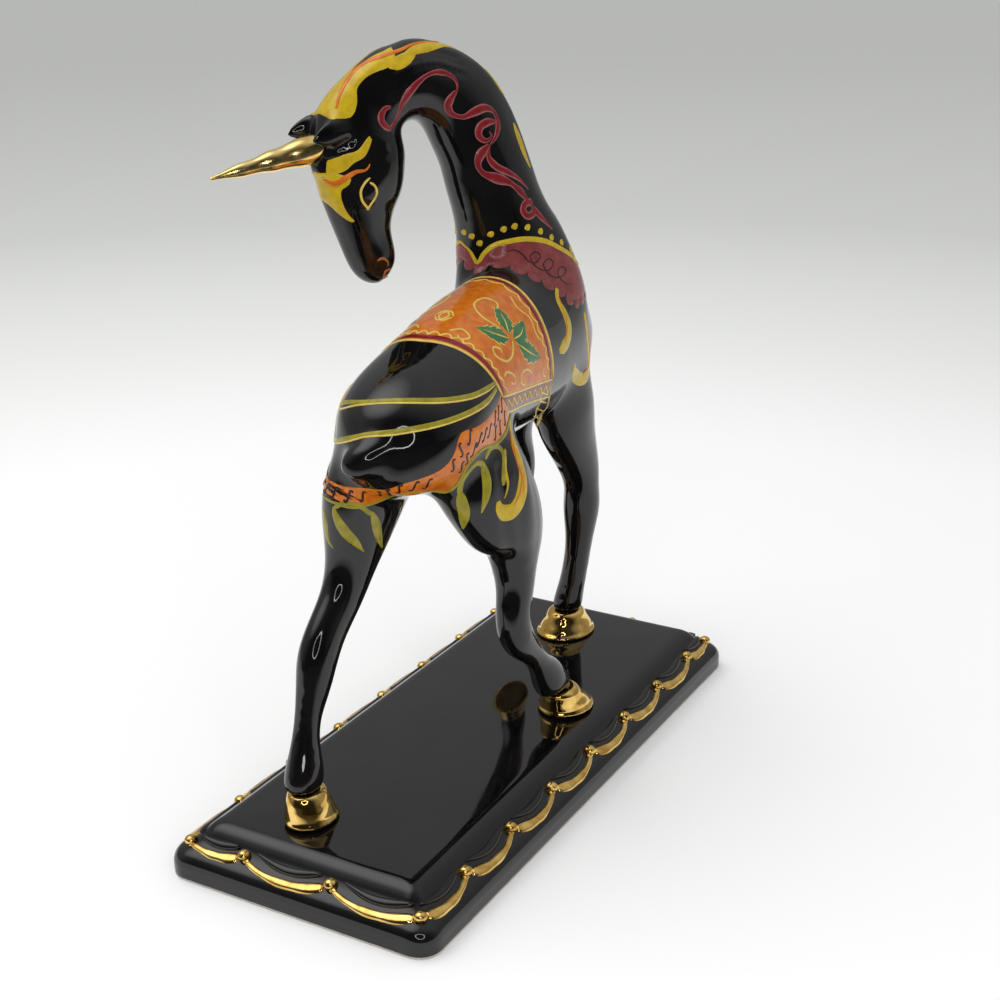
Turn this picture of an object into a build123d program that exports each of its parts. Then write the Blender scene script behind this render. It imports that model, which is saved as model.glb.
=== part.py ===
from build123d import *
import math
import os

# A walking unicorn in black glazed ceramic on an oblong plinth, one solid for each named piece.
# Lengths are in millimetres. X runs from the tail to the breast, Y to the animal's left, Z up.
# The origin is the middle of the plinth's underside.

# Plinth
PLINTH_LENGTH = 180.0
PLINTH_WIDTH = 78.0
PLINTH_SHELL = 4.5
FOOT_CHAMFER = 0.6
WALL_HEIGHT = 5.6
WALL_CORNER = 5.8
WALL_ROUND = 1.5
COVE_INSET = 4.7
COVE_HEIGHT = 8.5
CREASE_INSET = 7.0
CREASE_HEIGHT = 11.6
CREASE_CORNER = 2.6
SHOULDER_INSET = 8.8
SHOULDER_HEIGHT = 13.4
PANEL_INSET = 11.6
PANEL_HEIGHT = 14.2

# Gilded garland on the plinth's sloping border
GARLAND_SIDE_SWAGS = 8
GARLAND_SIDE_FIRST = 20.6
GARLAND_SIDE_LAST = 15.0
GARLAND_END_SWAGS = 3
GARLAND_END_FIRST = 17.0
GARLAND_END_LAST = 25.8
BOSS_RADIUS = 1.7
SWAG_SPAN = 22.5
SWAG_SAG = 2.8
SWAG_WIDTH = 2.7
SWAG_RELIEF = 0.9

# Trunk
BODY_LENGTH = 131.0
BODY_WIDTH = 38.0
BODY_DEPTH = 47.0
BELLY_HEIGHT = 77.0
BODY_TURN = 7.0
BODY_MIDDLE_X = 2.5
BODY_MIDDLE_Y = 1.3

# Legs and hooves
STANCE_WIDTH = 40.0
LEG_THICKNESS = 8.0
HOOF_LENGTH = 18.5
HOOF_WIDTH = 15.6
HOOF_HEIGHT = 8.0

# Neck, which bends back over the left shoulder in one upright plane
NECK_TURN = 150.6
NECK_HEIGHT = 76.0
NECK_REACH = 45.0
NECK_DEPTH = 24.0
NECK_WIDTH = 18.0

# Head
HEAD_LENGTH = 54.0
HEAD_DEPTH = 25.0
HEAD_WIDTH = 16.4
HORN_LENGTH = 34.5
HORN_THICKNESS = 9.0
HORN_DIP = 10.0
EAR_LENGTH = 14.0
EAR_WIDTH = 8.4
EAR_THICKNESS = 4.0

# Hair
MANE_WIDTH = 9.0
MANE_RELIEF = 0.9
FORELOCK_WIDTH = 11.0
TAIL_WIDTH = 9.6
TAIL_THICKNESS = 8.0

# Each trunk row is (along, height, width, depth): along is a share of BODY_LENGTH from the middle,
# height a share of BODY_DEPTH above the belly line, width and depth the section's full sizes.
trunk_shares = [
    (-0.462, 0.345, 0.18, 0.15),
    (-0.447, 0.340, 0.38, 0.30),
    (-0.412, 0.347, 0.66, 0.49),
    (-0.362, 0.368, 0.86, 0.62),
    (-0.288, 0.398, 0.97, 0.72),
    (-0.200, 0.421, 0.94, 0.81),
    (-0.095, 0.452, 0.88, 0.89),
    (0.020, 0.474, 0.84, 0.94),
    (0.135, 0.480, 0.84, 0.965),
    (0.240, 0.483, 0.86, 0.98),
    (0.332, 0.445, 0.85, 0.94),
    (0.410, 0.390, 0.77, 0.80),
    (0.470, 0.350, 0.56, 0.56),
    (0.500, 0.330, 0.26, 0.26),
]

# Each leg row is (along, aside, height, width, depth): along is a share of BODY_LENGTH from the
# middle, aside a share of STANCE_WIDTH, height a share of BELLY_HEIGHT above the plinth's panel,
# width and depth shares of LEG_THICKNESS.
left_hind_shares = [
    (-0.550, 0.230, 0.095, 1.05, 1.15),
    (-0.548, 0.235, 0.160, 1.20, 1.38),
    (-0.535, 0.245, 0.257, 0.93, 1.00),
    (-0.520, 0.250, 0.348, 0.86, 0.95),
    (-0.502, 0.250, 0.426, 1.05, 1.18),
    (-0.479, 0.250, 0.530, 1.20, 1.50),
    (-0.442, 0.250, 0.608, 1.18, 1.52),
    (-0.395, 0.250, 0.686, 1.28, 1.62),
    (-0.366, 0.240, 0.777, 1.50, 2.00),
    (-0.351, 0.225, 0.855, 1.78, 2.62),
    (-0.340, 0.200, 0.945, 2.05, 3.38),
    (-0.328, 0.155, 1.050, 2.25, 4.00),
    (-0.312, 0.110, 1.150, 2.05, 4.05),
    (-0.300, 0.085, 1.230, 1.60, 3.40),
]
right_hind_shares = [
    (0.071, -0.500, 0.079, 0.95, 1.05),
    (0.040, -0.500, 0.143, 1.10, 1.22),
    (-0.015, -0.492, 0.251, 0.88, 0.98),
    (-0.066, -0.480, 0.348, 0.92, 1.08),
    (-0.109, -0.470, 0.442, 1.12, 1.38),
    (-0.113, -0.463, 0.517, 1.12, 1.38),
    (-0.101, -0.455, 0.595, 1.22, 1.48),
    (-0.097, -0.445, 0.673, 1.40, 1.82),
    (-0.092, -0.430, 0.751, 1.78, 2.25),
    (-0.111, -0.412, 0.842, 2.20, 3.10),
    (-0.142, -0.385, 0.932, 2.38, 3.70),
    (-0.172, -0.335, 1.036, 2.45, 4.10),
    (-0.195, -0.265, 1.150, 2.20, 3.90),
    (-0.210, -0.190, 1.260, 1.60, 2.90),
]
right_fore_shares = [
    (0.447, 0.080, 0.075, 0.98, 1.05),
    (0.451, 0.065, 0.140, 1.12, 1.22),
    (0.456, 0.040, 0.218, 1.02, 1.10),
    (0.460, 0.015, 0.309, 1.00, 1.10),
    (0.465, 0.000, 0.413, 1.10, 1.22),
    (0.468, -0.008, 0.517, 1.35, 1.52),
    (0.465, -0.015, 0.608, 1.32, 1.52),
    (0.451, -0.020, 0.699, 1.42, 1.70),
    (0.427, -0.015, 0.790, 1.60, 2.08),
    (0.397, -0.010, 0.894, 1.85, 2.60),
    (0.373, -0.005, 1.010, 2.05, 3.15),
    (0.352, 0.020, 1.125, 2.10, 3.40),
    (0.338, 0.060, 1.240, 1.70, 2.80),
]
left_fore_shares = [
    (0.370, 0.400, 0.361, 0.88, 0.94),
    (0.385, 0.410, 0.426, 1.06, 1.16),
    (0.400, 0.420, 0.504, 0.92, 1.00),
    (0.413, 0.430, 0.595, 0.96, 1.06),
    (0.419, 0.440, 0.686, 1.18, 1.32),
    (0.412, 0.445, 0.757, 1.24, 1.40),
    (0.392, 0.445, 0.833, 1.40, 1.64),
    (0.374, 0.430, 0.917, 1.72, 2.15),
    (0.360, 0.405, 1.010, 2.00, 2.80),
    (0.348, 0.365, 1.125, 2.00, 3.10),
    (0.338, 0.310, 1.240, 1.60, 2.50),
]

# Each neck row is (forward, height, depth, width): forward is a share of NECK_REACH towards the
# muzzle, height a share of NECK_HEIGHT, depth and width shares of NECK_DEPTH and NECK_WIDTH.
neck_shares = [
    (-0.005, 0.000, 1.72, 1.66),
    (-0.008, 0.126, 1.74, 1.60),
    (0.026, 0.245, 1.62, 1.46),
    (0.064, 0.337, 1.44, 1.32),
    (0.108, 0.422, 1.24, 1.21),
    (0.158, 0.508, 1.09, 1.11),
    (0.212, 0.600, 1.04, 1.04),
    (0.267, 0.692, 1.00, 1.01),
    (0.337, 0.788, 0.98, 0.99),
    (0.427, 0.874, 0.94, 0.97),
    (0.540, 0.934, 0.87, 0.96),
    (0.667, 0.966, 0.83, 0.95),
    (0.789, 0.968, 0.81, 0.93),
    (0.900, 0.943, 0.78, 0.88),
    (0.980, 0.908, 0.72, 0.82),
]

# Each head row is (drop, forward, depth, width): drop is a share of HEAD_LENGTH below the poll,
# forward and depth shares of HEAD_DEPTH from the neck's reach, width a share of HEAD_WIDTH.
head_shares = [
    (-0.055, 0.010, 0.26, 0.40),
    (0.024, 0.020, 0.53, 0.72),
    (0.111, 0.100, 0.73, 0.90),
    (0.241, 0.144, 0.97, 1.00),
    (0.370, 0.132, 1.01, 1.00),
    (0.491, 0.136, 0.93, 0.93),
    (0.593, 0.140, 0.78, 0.80),
    (0.685, 0.124, 0.64, 0.70),
    (0.759, 0.088, 0.58, 0.64),
    (0.833, 0.036, 0.55, 0.62),
    (0.898, -0.008, 0.46, 0.56),
    (0.948, -0.040, 0.27, 0.34),
    (0.968, -0.056, 0.10, 0.13),
]

# Each horn row is (along, thickness) as shares of HORN_LENGTH and HORN_THICKNESS.
horn_shares = [
    (0.00, 0.92), (0.10, 1.00), (0.20, 0.86), (0.30, 0.88), (0.42, 0.68),
    (0.52, 0.70), (0.64, 0.50), (0.74, 0.50), (0.86, 0.33), (0.95, 0.27), (1.00, 0.14),
]

# Each ear row is (along, width, thickness) as shares of the ear's own sizes.
ear_shares = [
    (0.00, 0.62, 0.80), (0.28, 0.92, 0.95), (0.52, 1.00, 0.90),
    (0.76, 0.74, 0.66), (0.93, 0.38, 0.36), (1.00, 0.12, 0.14),
]

# The tail's swell from root to tip, as shares of its own sizes.
tail_swell_shares = [0.74, 0.96, 1.00, 0.92, 0.62, 0.26]

# The neck's foot on the trunk, as (along, aside, height) shares of the trunk's sizes, and the
# poll, as (forward, height) shares of the neck's sizes.
neck_foot_shares = (0.272, 0.026, 0.450)
poll_shares = (1.000, 0.982)

# Each hoof is (along, aside, height, size, crown, tall): the middle of its sole in the leg's
# shares, its size as a share of HOOF_LENGTH and HOOF_WIDTH, its crown as a share of its rim, and
# its height as a share of HOOF_HEIGHT.
left_hind_hoof_shares = (-0.543, 0.205, 0.000, 0.83, 0.90, 1.06)
right_hind_hoof_shares = (0.104, -0.500, 0.000, 0.99, 0.64, 0.93)
right_fore_hoof_shares = (0.447, 0.082, 0.000, 1.12, 0.60, 0.94)
left_fore_hoof_shares = (0.340, 0.380, 0.264, 0.72, 0.80, 1.08)

# Each hoof row is (up, size) as shares of its height and of the step from crown to rim.
hoof_row_shares = [(0.0, 0.96), (0.10, 1.00), (0.24, 0.90), (0.60, 0.34), (1.0, 0.00)]

# Sections of a garland swag, as shares of its length, and the ribbon's width there.
swag_along_shares = [0.0, 0.16, 0.38, 0.62, 0.84, 1.0]
swag_thickness_shares = [0.34, 0.55, 0.78, 0.94, 1.0, 0.72]

# The horn's root on the head, as (drop, forward) shares, and the ear's root, as (drop, forward,
# aside) shares with aside in HEAD_WIDTH; an ear's way out and down, against one step forward.
horn_root_shares = (0.278, 0.420)
ear_root_shares = (0.190, 0.300, 0.36)
ear_spread_share = 0.12
ear_dip_share = 0.22

# Each forelock row is (forward, height, width, thickness): its place in the neck's shares, its
# sizes as shares of FORELOCK_WIDTH.
forelock_shares = [
    (0.800, 1.072, 0.50, 0.26),
    (0.890, 1.060, 0.80, 0.40),
    (0.992, 1.028, 0.95, 0.48),
    (1.084, 0.986, 1.00, 0.50),
    (1.166, 0.942, 1.00, 0.48),
    (1.240, 0.898, 0.96, 0.46),
    (1.290, 0.861, 0.66, 0.34),
    (1.306, 0.845, 0.30, 0.16),
]

# Each mane row is (row, width): the neck row that it lies along and its share of MANE_WIDTH.
mane_shares = [(3, 0.30), (4, 0.62), (5, 0.80), (6, 0.92), (7, 1.00), (8, 1.00),
               (9, 1.00), (10, 1.00), (11, 0.90), (12, 0.60)]

# The tail's middle line, as (along, aside, height) shares of the trunk's sizes.
tail_place_shares = [
    (-0.375, -0.17, 0.410),
    (-0.425, -0.10, 0.402),
    (-0.452, 0.00, 0.366),
    (-0.464, 0.09, 0.325),
    (-0.466, 0.18, 0.292),
    (-0.460, 0.23, 0.276),
]

RING_POINTS = 16
OVERRUN = 1.0

belly_level = PANEL_HEIGHT + BELLY_HEIGHT
up_way = Vector(0, 0, 1)
body_way = Vector(math.cos(math.radians(BODY_TURN)), math.sin(math.radians(BODY_TURN)), 0)
side_way = up_way.cross(body_way)
face_way = Vector(math.cos(math.radians(NECK_TURN)), math.sin(math.radians(NECK_TURN)), 0)
flank_way = up_way.cross(face_way)


def ring(centre, normal, depth_way, depth, width):
    """A flat oval face square to normal, its depth measured along depth_way."""
    normal = normal.normalized()
    deep = (depth_way - normal * depth_way.dot(normal)).normalized()
    wide = normal.cross(deep)
    points = []
    for step in range(RING_POINTS):
        angle = 2 * math.pi * step / RING_POINTS
        points.append(centre + deep * (math.cos(angle) * depth / 2) + wide * (math.sin(angle) * width / 2))
    return Face(Wire([Edge.make_spline(points, periodic=True)]))


def limb(centres, depths, widths, depth_way):
    """A smooth solid through oval sections, each square to the run of its centres."""
    last = len(centres) - 1
    faces = []
    for index, centre in enumerate(centres):
        run = centres[min(index + 1, last)] - centres[max(index - 1, 0)]
        way = depth_way(run) if callable(depth_way) else depth_way
        faces.append(ring(centre, run, way, depths[index], widths[index]))
    return loft(faces)


def largest(shape):
    """The main solid that a cut leaves."""
    return max(shape.solids(), key=lambda solid: solid.volume)


def cut_by(piece, *neighbours):
    """A piece with its larger neighbours taken out, so that they meet face to face."""
    for neighbour in neighbours:
        piece = piece - neighbour
    return largest(piece)


def body_point(along, aside, height):
    """A point in the trunk's own directions, from shares of its length, width and depth."""
    middle = Vector(BODY_MIDDLE_X, BODY_MIDDLE_Y, belly_level + height * BODY_DEPTH)
    return middle + body_way * (along * BODY_LENGTH) + side_way * (aside * BODY_WIDTH)


def leg_point(along, aside, height):
    """A point of a leg, from shares of the body's length, the stance and the belly's height."""
    return Vector(
        BODY_MIDDLE_X + along * BODY_LENGTH,
        aside * STANCE_WIDTH,
        PANEL_HEIGHT + height * BELLY_HEIGHT,
    )


def neck_point(forward, height):
    """A point in the neck's upright plane, from shares of its reach and height."""
    foot = body_point(*neck_foot_shares)
    return foot + face_way * (forward * NECK_REACH) + up_way * (height * NECK_HEIGHT)


def plinth_levels():
    """(inset, height, corner radius) of the plinth's outline from its foot to its panel."""
    return [
        (FOOT_CHAMFER, 0, WALL_CORNER - FOOT_CHAMFER),
        (0, FOOT_CHAMFER, WALL_CORNER),
        (0, WALL_HEIGHT, WALL_CORNER),
        (WALL_ROUND / 3, WALL_HEIGHT + WALL_ROUND * 2 / 3, WALL_CORNER - WALL_ROUND / 3),
        (WALL_ROUND, WALL_HEIGHT + WALL_ROUND, WALL_CORNER - WALL_ROUND),
        (COVE_INSET, COVE_HEIGHT, (WALL_CORNER + CREASE_CORNER) / 2),
        (CREASE_INSET, CREASE_HEIGHT, CREASE_CORNER),
        (SHOULDER_INSET, SHOULDER_HEIGHT, CREASE_CORNER),
        (PANEL_INSET, PANEL_HEIGHT, CREASE_CORNER),
    ]


def outline(inset, height, corner):
    """A level rounded rectangle, drawn in from the plinth's edge."""
    shape = RectangleRounded(PLINTH_LENGTH - 2 * inset, PLINTH_WIDTH - 2 * inset, corner)
    return Plane.XY.offset(height) * shape


def make_plinth_block():
    """The plinth's outer shape."""
    return largest(loft([outline(*level).face() for level in plinth_levels()], ruled=True))


def make_plinth(block):
    """The slip-cast plinth: its outer shape over a hollow that is open underneath."""
    levels = [(PLINTH_SHELL, -OVERRUN, CREASE_CORNER)]
    for inset, height, corner in plinth_levels():
        if height > PLINTH_SHELL:
            levels.append((inset + PLINTH_SHELL, height - PLINTH_SHELL, CREASE_CORNER))
    hollow = loft([outline(*level).face() for level in levels], ruled=True)
    return largest(block - hollow)


def garland_stops(span, first, last, swags):
    """Distances of the bosses along one side, from its first corner; the middle swags share the rest."""
    pitch = (span - first - last) / (swags - 2)
    stops = [0]
    for index in range(swags - 1):
        stops.append(first + index * pitch)
    stops.append(span)
    return stops


def make_sprig(start, end, out_way, thicknesses, block):
    """One swag of gilded relief with the boss that it hangs from."""
    out_rise = (WALL_HEIGHT + WALL_ROUND - COVE_HEIGHT) / (COVE_INSET - WALL_ROUND)
    down_slope = (out_way + up_way * out_rise).normalized()
    run = end - start
    off_slope = run.cross(down_slope).normalized()
    if off_slope.Z < 0:
        off_slope = off_slope * -1
    sag = SWAG_SAG * (run.length / SWAG_SPAN) ** 2
    dips = [4 * along * (1 - along) * sag for along in swag_along_shares]
    centres = [start + run * along + down_slope * dip for along, dip in zip(swag_along_shares, dips)]
    widths = [thickness * SWAG_WIDTH for thickness in thicknesses]
    depths = [SWAG_RELIEF * (1 + thickness) for thickness in thicknesses]
    swag = limb(centres, depths, widths, off_slope)
    boss = Pos(*start) * Sphere(BOSS_RADIUS)
    next_boss = Pos(*end) * Sphere(BOSS_RADIUS)
    return largest((swag - next_boss + boss) - block)


def make_garland(block):
    """The swags round the plinth, by name; each ribbon is thickest towards the right rear corner."""
    half_length = PLINTH_LENGTH / 2 - COVE_INSET
    half_width = PLINTH_WIDTH / 2 - COVE_INSET
    side_stops = garland_stops(2 * half_length, GARLAND_SIDE_FIRST, GARLAND_SIDE_LAST, GARLAND_SIDE_SWAGS)
    end_stops = garland_stops(2 * half_width, GARLAND_END_FIRST, GARLAND_END_LAST, GARLAND_END_SWAGS)
    back_side_stops = [2 * half_length - stop for stop in reversed(side_stops)]
    back_end_stops = [2 * half_width - stop for stop in reversed(end_stops)]
    thicker = swag_thickness_shares
    thinner = list(reversed(thicker))
    sides = [
        ("right", Vector(-half_length, -half_width, COVE_HEIGHT), Vector(1, 0, 0), side_stops, thinner),
        ("front", Vector(half_length, -half_width, COVE_HEIGHT), Vector(0, 1, 0), back_end_stops, thinner),
        ("left", Vector(half_length, half_width, COVE_HEIGHT), Vector(-1, 0, 0), back_side_stops, thicker),
        ("rear", Vector(-half_length, half_width, COVE_HEIGHT), Vector(0, -1, 0), end_stops, thicker),
    ]
    sprigs = {}
    for name, corner, way, stops, thicknesses in sides:
        out_way = way.cross(up_way)
        for index in range(len(stops) - 1):
            start = corner + way * stops[index]
            end = corner + way * stops[index + 1]
            sprigs[f"garland_{name}_{index + 1}"] = make_sprig(start, end, out_way, thicknesses, block)
    return sprigs


def make_trunk():
    """Barrel, loin and rump, from the buttocks to the breast."""
    centres = [body_point(along, 0, height) for along, height, width, depth in trunk_shares]
    depths = [depth * BODY_DEPTH for along, height, width, depth in trunk_shares]
    widths = [width * BODY_WIDTH for along, height, width, depth in trunk_shares]
    return limb(centres, depths, widths, up_way)


def make_leg(rows, hoof, trunk):
    """One leg from inside the hoof's crown up into the trunk."""
    centres = [leg_point(along, aside, height) for along, aside, height, width, depth in rows]
    widths = [width * LEG_THICKNESS for along, aside, height, width, depth in rows]
    depths = [depth * LEG_THICKNESS for along, aside, height, width, depth in rows]
    return cut_by(limb(centres, depths, widths, Vector(1, 0, 0)), trunk, hoof)


def make_hoof(place, ankle):
    """One gilded hoof, flared to a rolled rim; a raised one lies along its pastern."""
    along, aside, height, size, crown, tall = place
    foot = leg_point(along, aside, height)
    raised = height > 0
    normal = (ankle - foot).normalized() if raised else up_way
    top = foot + normal * (tall * HOOF_HEIGHT)
    if not raised:
        top = Vector(ankle.X, ankle.Y, top.Z)
    faces = []
    for up, step in hoof_row_shares:
        share = size * (crown + (1 - crown) * step)
        centre = foot + (top - foot) * up
        faces.append(ring(centre, normal, Vector(1, 0, 0), share * HOOF_LENGTH, share * HOOF_WIDTH))
    return loft(faces)


def make_neck(trunk):
    """The arched neck, from the shoulders to the poll."""
    centres = [neck_point(forward, height) for forward, height, depth, width in neck_shares]
    depths = [depth * NECK_DEPTH for forward, height, depth, width in neck_shares]
    widths = [width * NECK_WIDTH for forward, height, depth, width in neck_shares]
    return cut_by(limb(centres, depths, widths, flank_way.cross), trunk)


def head_point(drop, forward):
    """A point in the head's middle plane, from shares of its length and depth."""
    poll = neck_point(*poll_shares)
    return poll + face_way * (forward * HEAD_DEPTH) - up_way * (drop * HEAD_LENGTH)


def make_head(neck):
    """The head, from the poll down to the muzzle."""
    centres = [head_point(drop, forward) for drop, forward, depth, width in head_shares]
    depths = [depth * HEAD_DEPTH for drop, forward, depth, width in head_shares]
    widths = [width * HEAD_WIDTH for drop, forward, depth, width in head_shares]
    return cut_by(limb(centres, depths, widths, face_way), neck)


def make_horn(head):
    """The gilded horn, which swells and narrows along its length."""
    root = head_point(*horn_root_shares)
    way = (face_way * math.cos(math.radians(HORN_DIP)) - up_way * math.sin(math.radians(HORN_DIP)))
    centres = [root + way * (along * HORN_LENGTH) for along, thickness in horn_shares]
    sizes = [thickness * HORN_THICKNESS for along, thickness in horn_shares]
    return cut_by(limb(centres, sizes, sizes, up_way), head)


def make_ear(side, head, horn):
    """One ear, laid forward beside the horn; side is 1 for the left ear and -1 for the right."""
    drop, forward, aside = ear_root_shares
    root = head_point(drop, forward) + flank_way * (side * aside * HEAD_WIDTH)
    way = (face_way + flank_way * (side * ear_spread_share) - up_way * ear_dip_share).normalized()
    centres = [root + way * (along * EAR_LENGTH) for along, width, thickness in ear_shares]
    widths = [width * EAR_WIDTH for along, width, thickness in ear_shares]
    depths = [thickness * EAR_THICKNESS for along, width, thickness in ear_shares]
    return cut_by(limb(centres, depths, widths, flank_way), head, horn)


def make_forelock(neck, head):
    """The lock of hair that lies from the poll over the forehead."""
    centres = [neck_point(forward, height) for forward, height, width, thickness in forelock_shares]
    depths = [thickness * FORELOCK_WIDTH for forward, height, width, thickness in forelock_shares]
    widths = [width * FORELOCK_WIDTH for forward, height, width, thickness in forelock_shares]
    return cut_by(limb(centres, depths, widths, flank_way.cross), neck, head)


def make_mane(neck, trunk, forelock):
    """The low ridge of the mane, along the neck's outer edge."""
    centres = []
    widths = []
    depths = []
    for row, width in mane_shares:
        forward, height, depth, ignored = neck_shares[row]
        before = neck_point(*neck_shares[row - 1][:2])
        after = neck_point(*neck_shares[row + 1][:2])
        inward = flank_way.cross(after - before).normalized()
        edge = neck_point(forward, height) - inward * (depth * NECK_DEPTH / 2 - MANE_RELIEF)
        centres.append(edge)
        widths.append(width * MANE_WIDTH)
        depths.append(4 * MANE_RELIEF * (0.5 + 0.5 * width))
    return cut_by(limb(centres, depths, widths, flank_way.cross), neck, trunk, forelock)


def make_tail(trunk, leg):
    """The short tail, swept to the left across the buttocks."""
    centres = [body_point(*place) for place in tail_place_shares]
    widths = [swell * TAIL_WIDTH for swell in tail_swell_shares]
    depths = [swell * TAIL_THICKNESS for swell in tail_swell_shares]
    return cut_by(limb(centres, depths, widths, body_way), trunk, leg)


def make_parts():
    """Every solid of the figure, by name."""
    block = make_plinth_block()
    parts = {"plinth": make_plinth(block)}
    parts.update(make_garland(block))
    trunk = make_trunk()
    parts["trunk"] = trunk
    legs = {
        "left_hind": (left_hind_shares, left_hind_hoof_shares),
        "right_hind": (right_hind_shares, right_hind_hoof_shares),
        "left_fore": (left_fore_shares, left_fore_hoof_shares),
        "right_fore": (right_fore_shares, right_fore_hoof_shares),
    }
    for name, (rows, place) in legs.items():
        hoof = make_hoof(place, leg_point(*rows[0][:3]))
        parts[f"{name}_leg"] = make_leg(rows, hoof, trunk)
        parts[f"{name}_hoof"] = hoof
    neck = make_neck(trunk)
    for name in legs:
        parts[f"{name}_leg"] = cut_by(parts[f"{name}_leg"], neck)
    parts["neck"] = neck
    head = make_head(neck)
    parts["head"] = head
    horn = make_horn(head)
    parts["horn"] = horn
    parts["right_ear"] = make_ear(-1, head, horn)
    parts["left_ear"] = make_ear(1, head, horn)
    forelock = make_forelock(neck, head)
    parts["forelock"] = forelock
    parts["mane"] = make_mane(neck, trunk, forelock)
    parts["tail"] = make_tail(trunk, parts["left_hind_leg"])
    return parts


os.makedirs("parts", exist_ok=True)
for name, solid in make_parts().items():
    export_step(solid, f"parts/{name}.step")
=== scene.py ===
import math

import bmesh
import bpy
import numpy as np
from mathutils import Matrix, Vector
from mathutils.bvhtree import BVHTree


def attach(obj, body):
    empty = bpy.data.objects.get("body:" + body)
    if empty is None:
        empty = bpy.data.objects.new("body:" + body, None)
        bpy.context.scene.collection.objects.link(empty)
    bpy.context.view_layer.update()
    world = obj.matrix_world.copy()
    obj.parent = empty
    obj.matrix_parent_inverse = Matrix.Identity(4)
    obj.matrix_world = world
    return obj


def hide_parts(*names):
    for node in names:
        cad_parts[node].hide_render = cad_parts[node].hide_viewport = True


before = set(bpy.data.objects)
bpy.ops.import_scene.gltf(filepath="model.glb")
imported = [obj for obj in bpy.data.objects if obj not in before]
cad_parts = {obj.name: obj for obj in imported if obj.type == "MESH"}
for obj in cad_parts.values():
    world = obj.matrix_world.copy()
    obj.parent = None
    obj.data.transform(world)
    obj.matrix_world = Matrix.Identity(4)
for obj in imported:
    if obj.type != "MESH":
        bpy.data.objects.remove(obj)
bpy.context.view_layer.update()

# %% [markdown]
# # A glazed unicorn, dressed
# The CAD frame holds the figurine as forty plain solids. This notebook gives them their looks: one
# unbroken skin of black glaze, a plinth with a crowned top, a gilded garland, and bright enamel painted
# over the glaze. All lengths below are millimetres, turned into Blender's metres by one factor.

MM = 0.001
BODY = "figurine"

# %% [markdown]
# ## The camera
# The photograph looks down on the animal's right hind quarter. A camera is three directions at right
# angles and a place to stand, so it is easiest to build those directions from three angles, as a
# photographer would say them: how far round, how high, and how much the camera leans.

# %% Camera
PICTURE = 1000
FOCAL_PIXELS = 1631.0
SENSOR = 36.0
VIEW_ROUND = math.radians(-60.55)
VIEW_HEIGHT = math.radians(20.41)
VIEW_LEAN = math.radians(-0.42)
VIEW_CENTRE = Vector((0, 0, 60.0))
VIEW_DISTANCE = 445.5
VIEW_SLIDE = 6.7
VIEW_RISE = 16.9

view_back = Vector((math.sin(VIEW_ROUND) * math.cos(VIEW_HEIGHT),
                    -math.cos(VIEW_ROUND) * math.cos(VIEW_HEIGHT),
                    math.sin(VIEW_HEIGHT)))
level_right = Vector((math.cos(VIEW_ROUND), math.sin(VIEW_ROUND), 0))
level_up = view_back.cross(level_right)
view_right = level_right * math.cos(VIEW_LEAN) + level_up * math.sin(VIEW_LEAN)
view_up = level_up * math.cos(VIEW_LEAN) - level_right * math.sin(VIEW_LEAN)
camera_side = Vector((view_back.x, view_back.y, 0)).normalized()
view_eye = VIEW_CENTRE + view_back * VIEW_DISTANCE + view_right * VIEW_SLIDE + view_up * VIEW_RISE

camera_data = bpy.data.cameras.new("camera")
camera_data.sensor_width = SENSOR
camera_data.lens = SENSOR * FOCAL_PIXELS / PICTURE
camera_data.clip_start = 10 * MM
camera = bpy.data.objects.new("camera", camera_data)
axes = Matrix((view_right, view_up, view_back)).transposed()
camera.matrix_world = Matrix.Translation(view_eye * MM) @ axes.to_4x4()
bpy.context.scene.collection.objects.link(camera)
bpy.context.scene.camera = camera
bpy.context.scene.view_settings.view_transform = "Standard"
print("lens %.1f mm, eye at %s mm" % (camera_data.lens, tuple(round(c) for c in view_eye)))

# %% [markdown]
# ## Making objects
# Nearly every piece below is made in a bmesh and then given a name, a material and a body to ride on.
# One short function does that last part, so that each piece needs a single call.

# %% Piece helper
def add_piece(bm, name, material, stands_for=()):
    """Turns a bmesh in millimetres into a finished piece of the figurine."""
    mesh = bpy.data.meshes.new(name)
    bm.to_mesh(mesh)
    bm.free()
    mesh.transform(Matrix.Scale(MM, 4))
    piece = bpy.data.objects.new(name, mesh)
    bpy.context.scene.collection.objects.link(piece)
    for face in mesh.polygons:
        face.use_smooth = True
    mesh.materials.append(material)
    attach(piece, BODY)
    if stands_for:
        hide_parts(*stands_for)
    print("%s: %d faces" % (name, len(mesh.polygons)))
    return piece


def cad_bmesh(nodes):
    """The merged copy of some CAD nodes, in millimetres."""
    bm = bmesh.new()
    for node in nodes:
        bm.from_mesh(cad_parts[node].data)
    bmesh.ops.scale(bm, vec=(1 / MM, 1 / MM, 1 / MM), verts=bm.verts)
    bmesh.ops.remove_doubles(bm, verts=bm.verts, dist=0.0005)
    return bm


def tree_of(nodes):
    """A search tree over the surface of some CAD nodes."""
    bm = cad_bmesh(nodes)
    tree = BVHTree.FromBMesh(bm)
    bm.free()
    return tree

# %% [markdown]
# ## Glaze, enamel and gold
# Black glaze is a nearly black glass. It shows almost nothing of its own colour and takes its whole look
# from reflections, so its roughness and tiny waves matter most. Noise on Object coordinates moves both
# a little, as brushed and dipped glaze does.

# %% New material
def new_material(name):
    """An empty node material and its shader."""
    material = bpy.data.materials.new(name)
    material.use_nodes = True
    return material, material.node_tree.nodes["Principled BSDF"]

# %% [markdown]
# Noise on Object coordinates needs no unwrapping and sits still on its piece, so it suits a glaze that
# runs over everything. A ramp then turns the noise into two or more colours.

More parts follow.
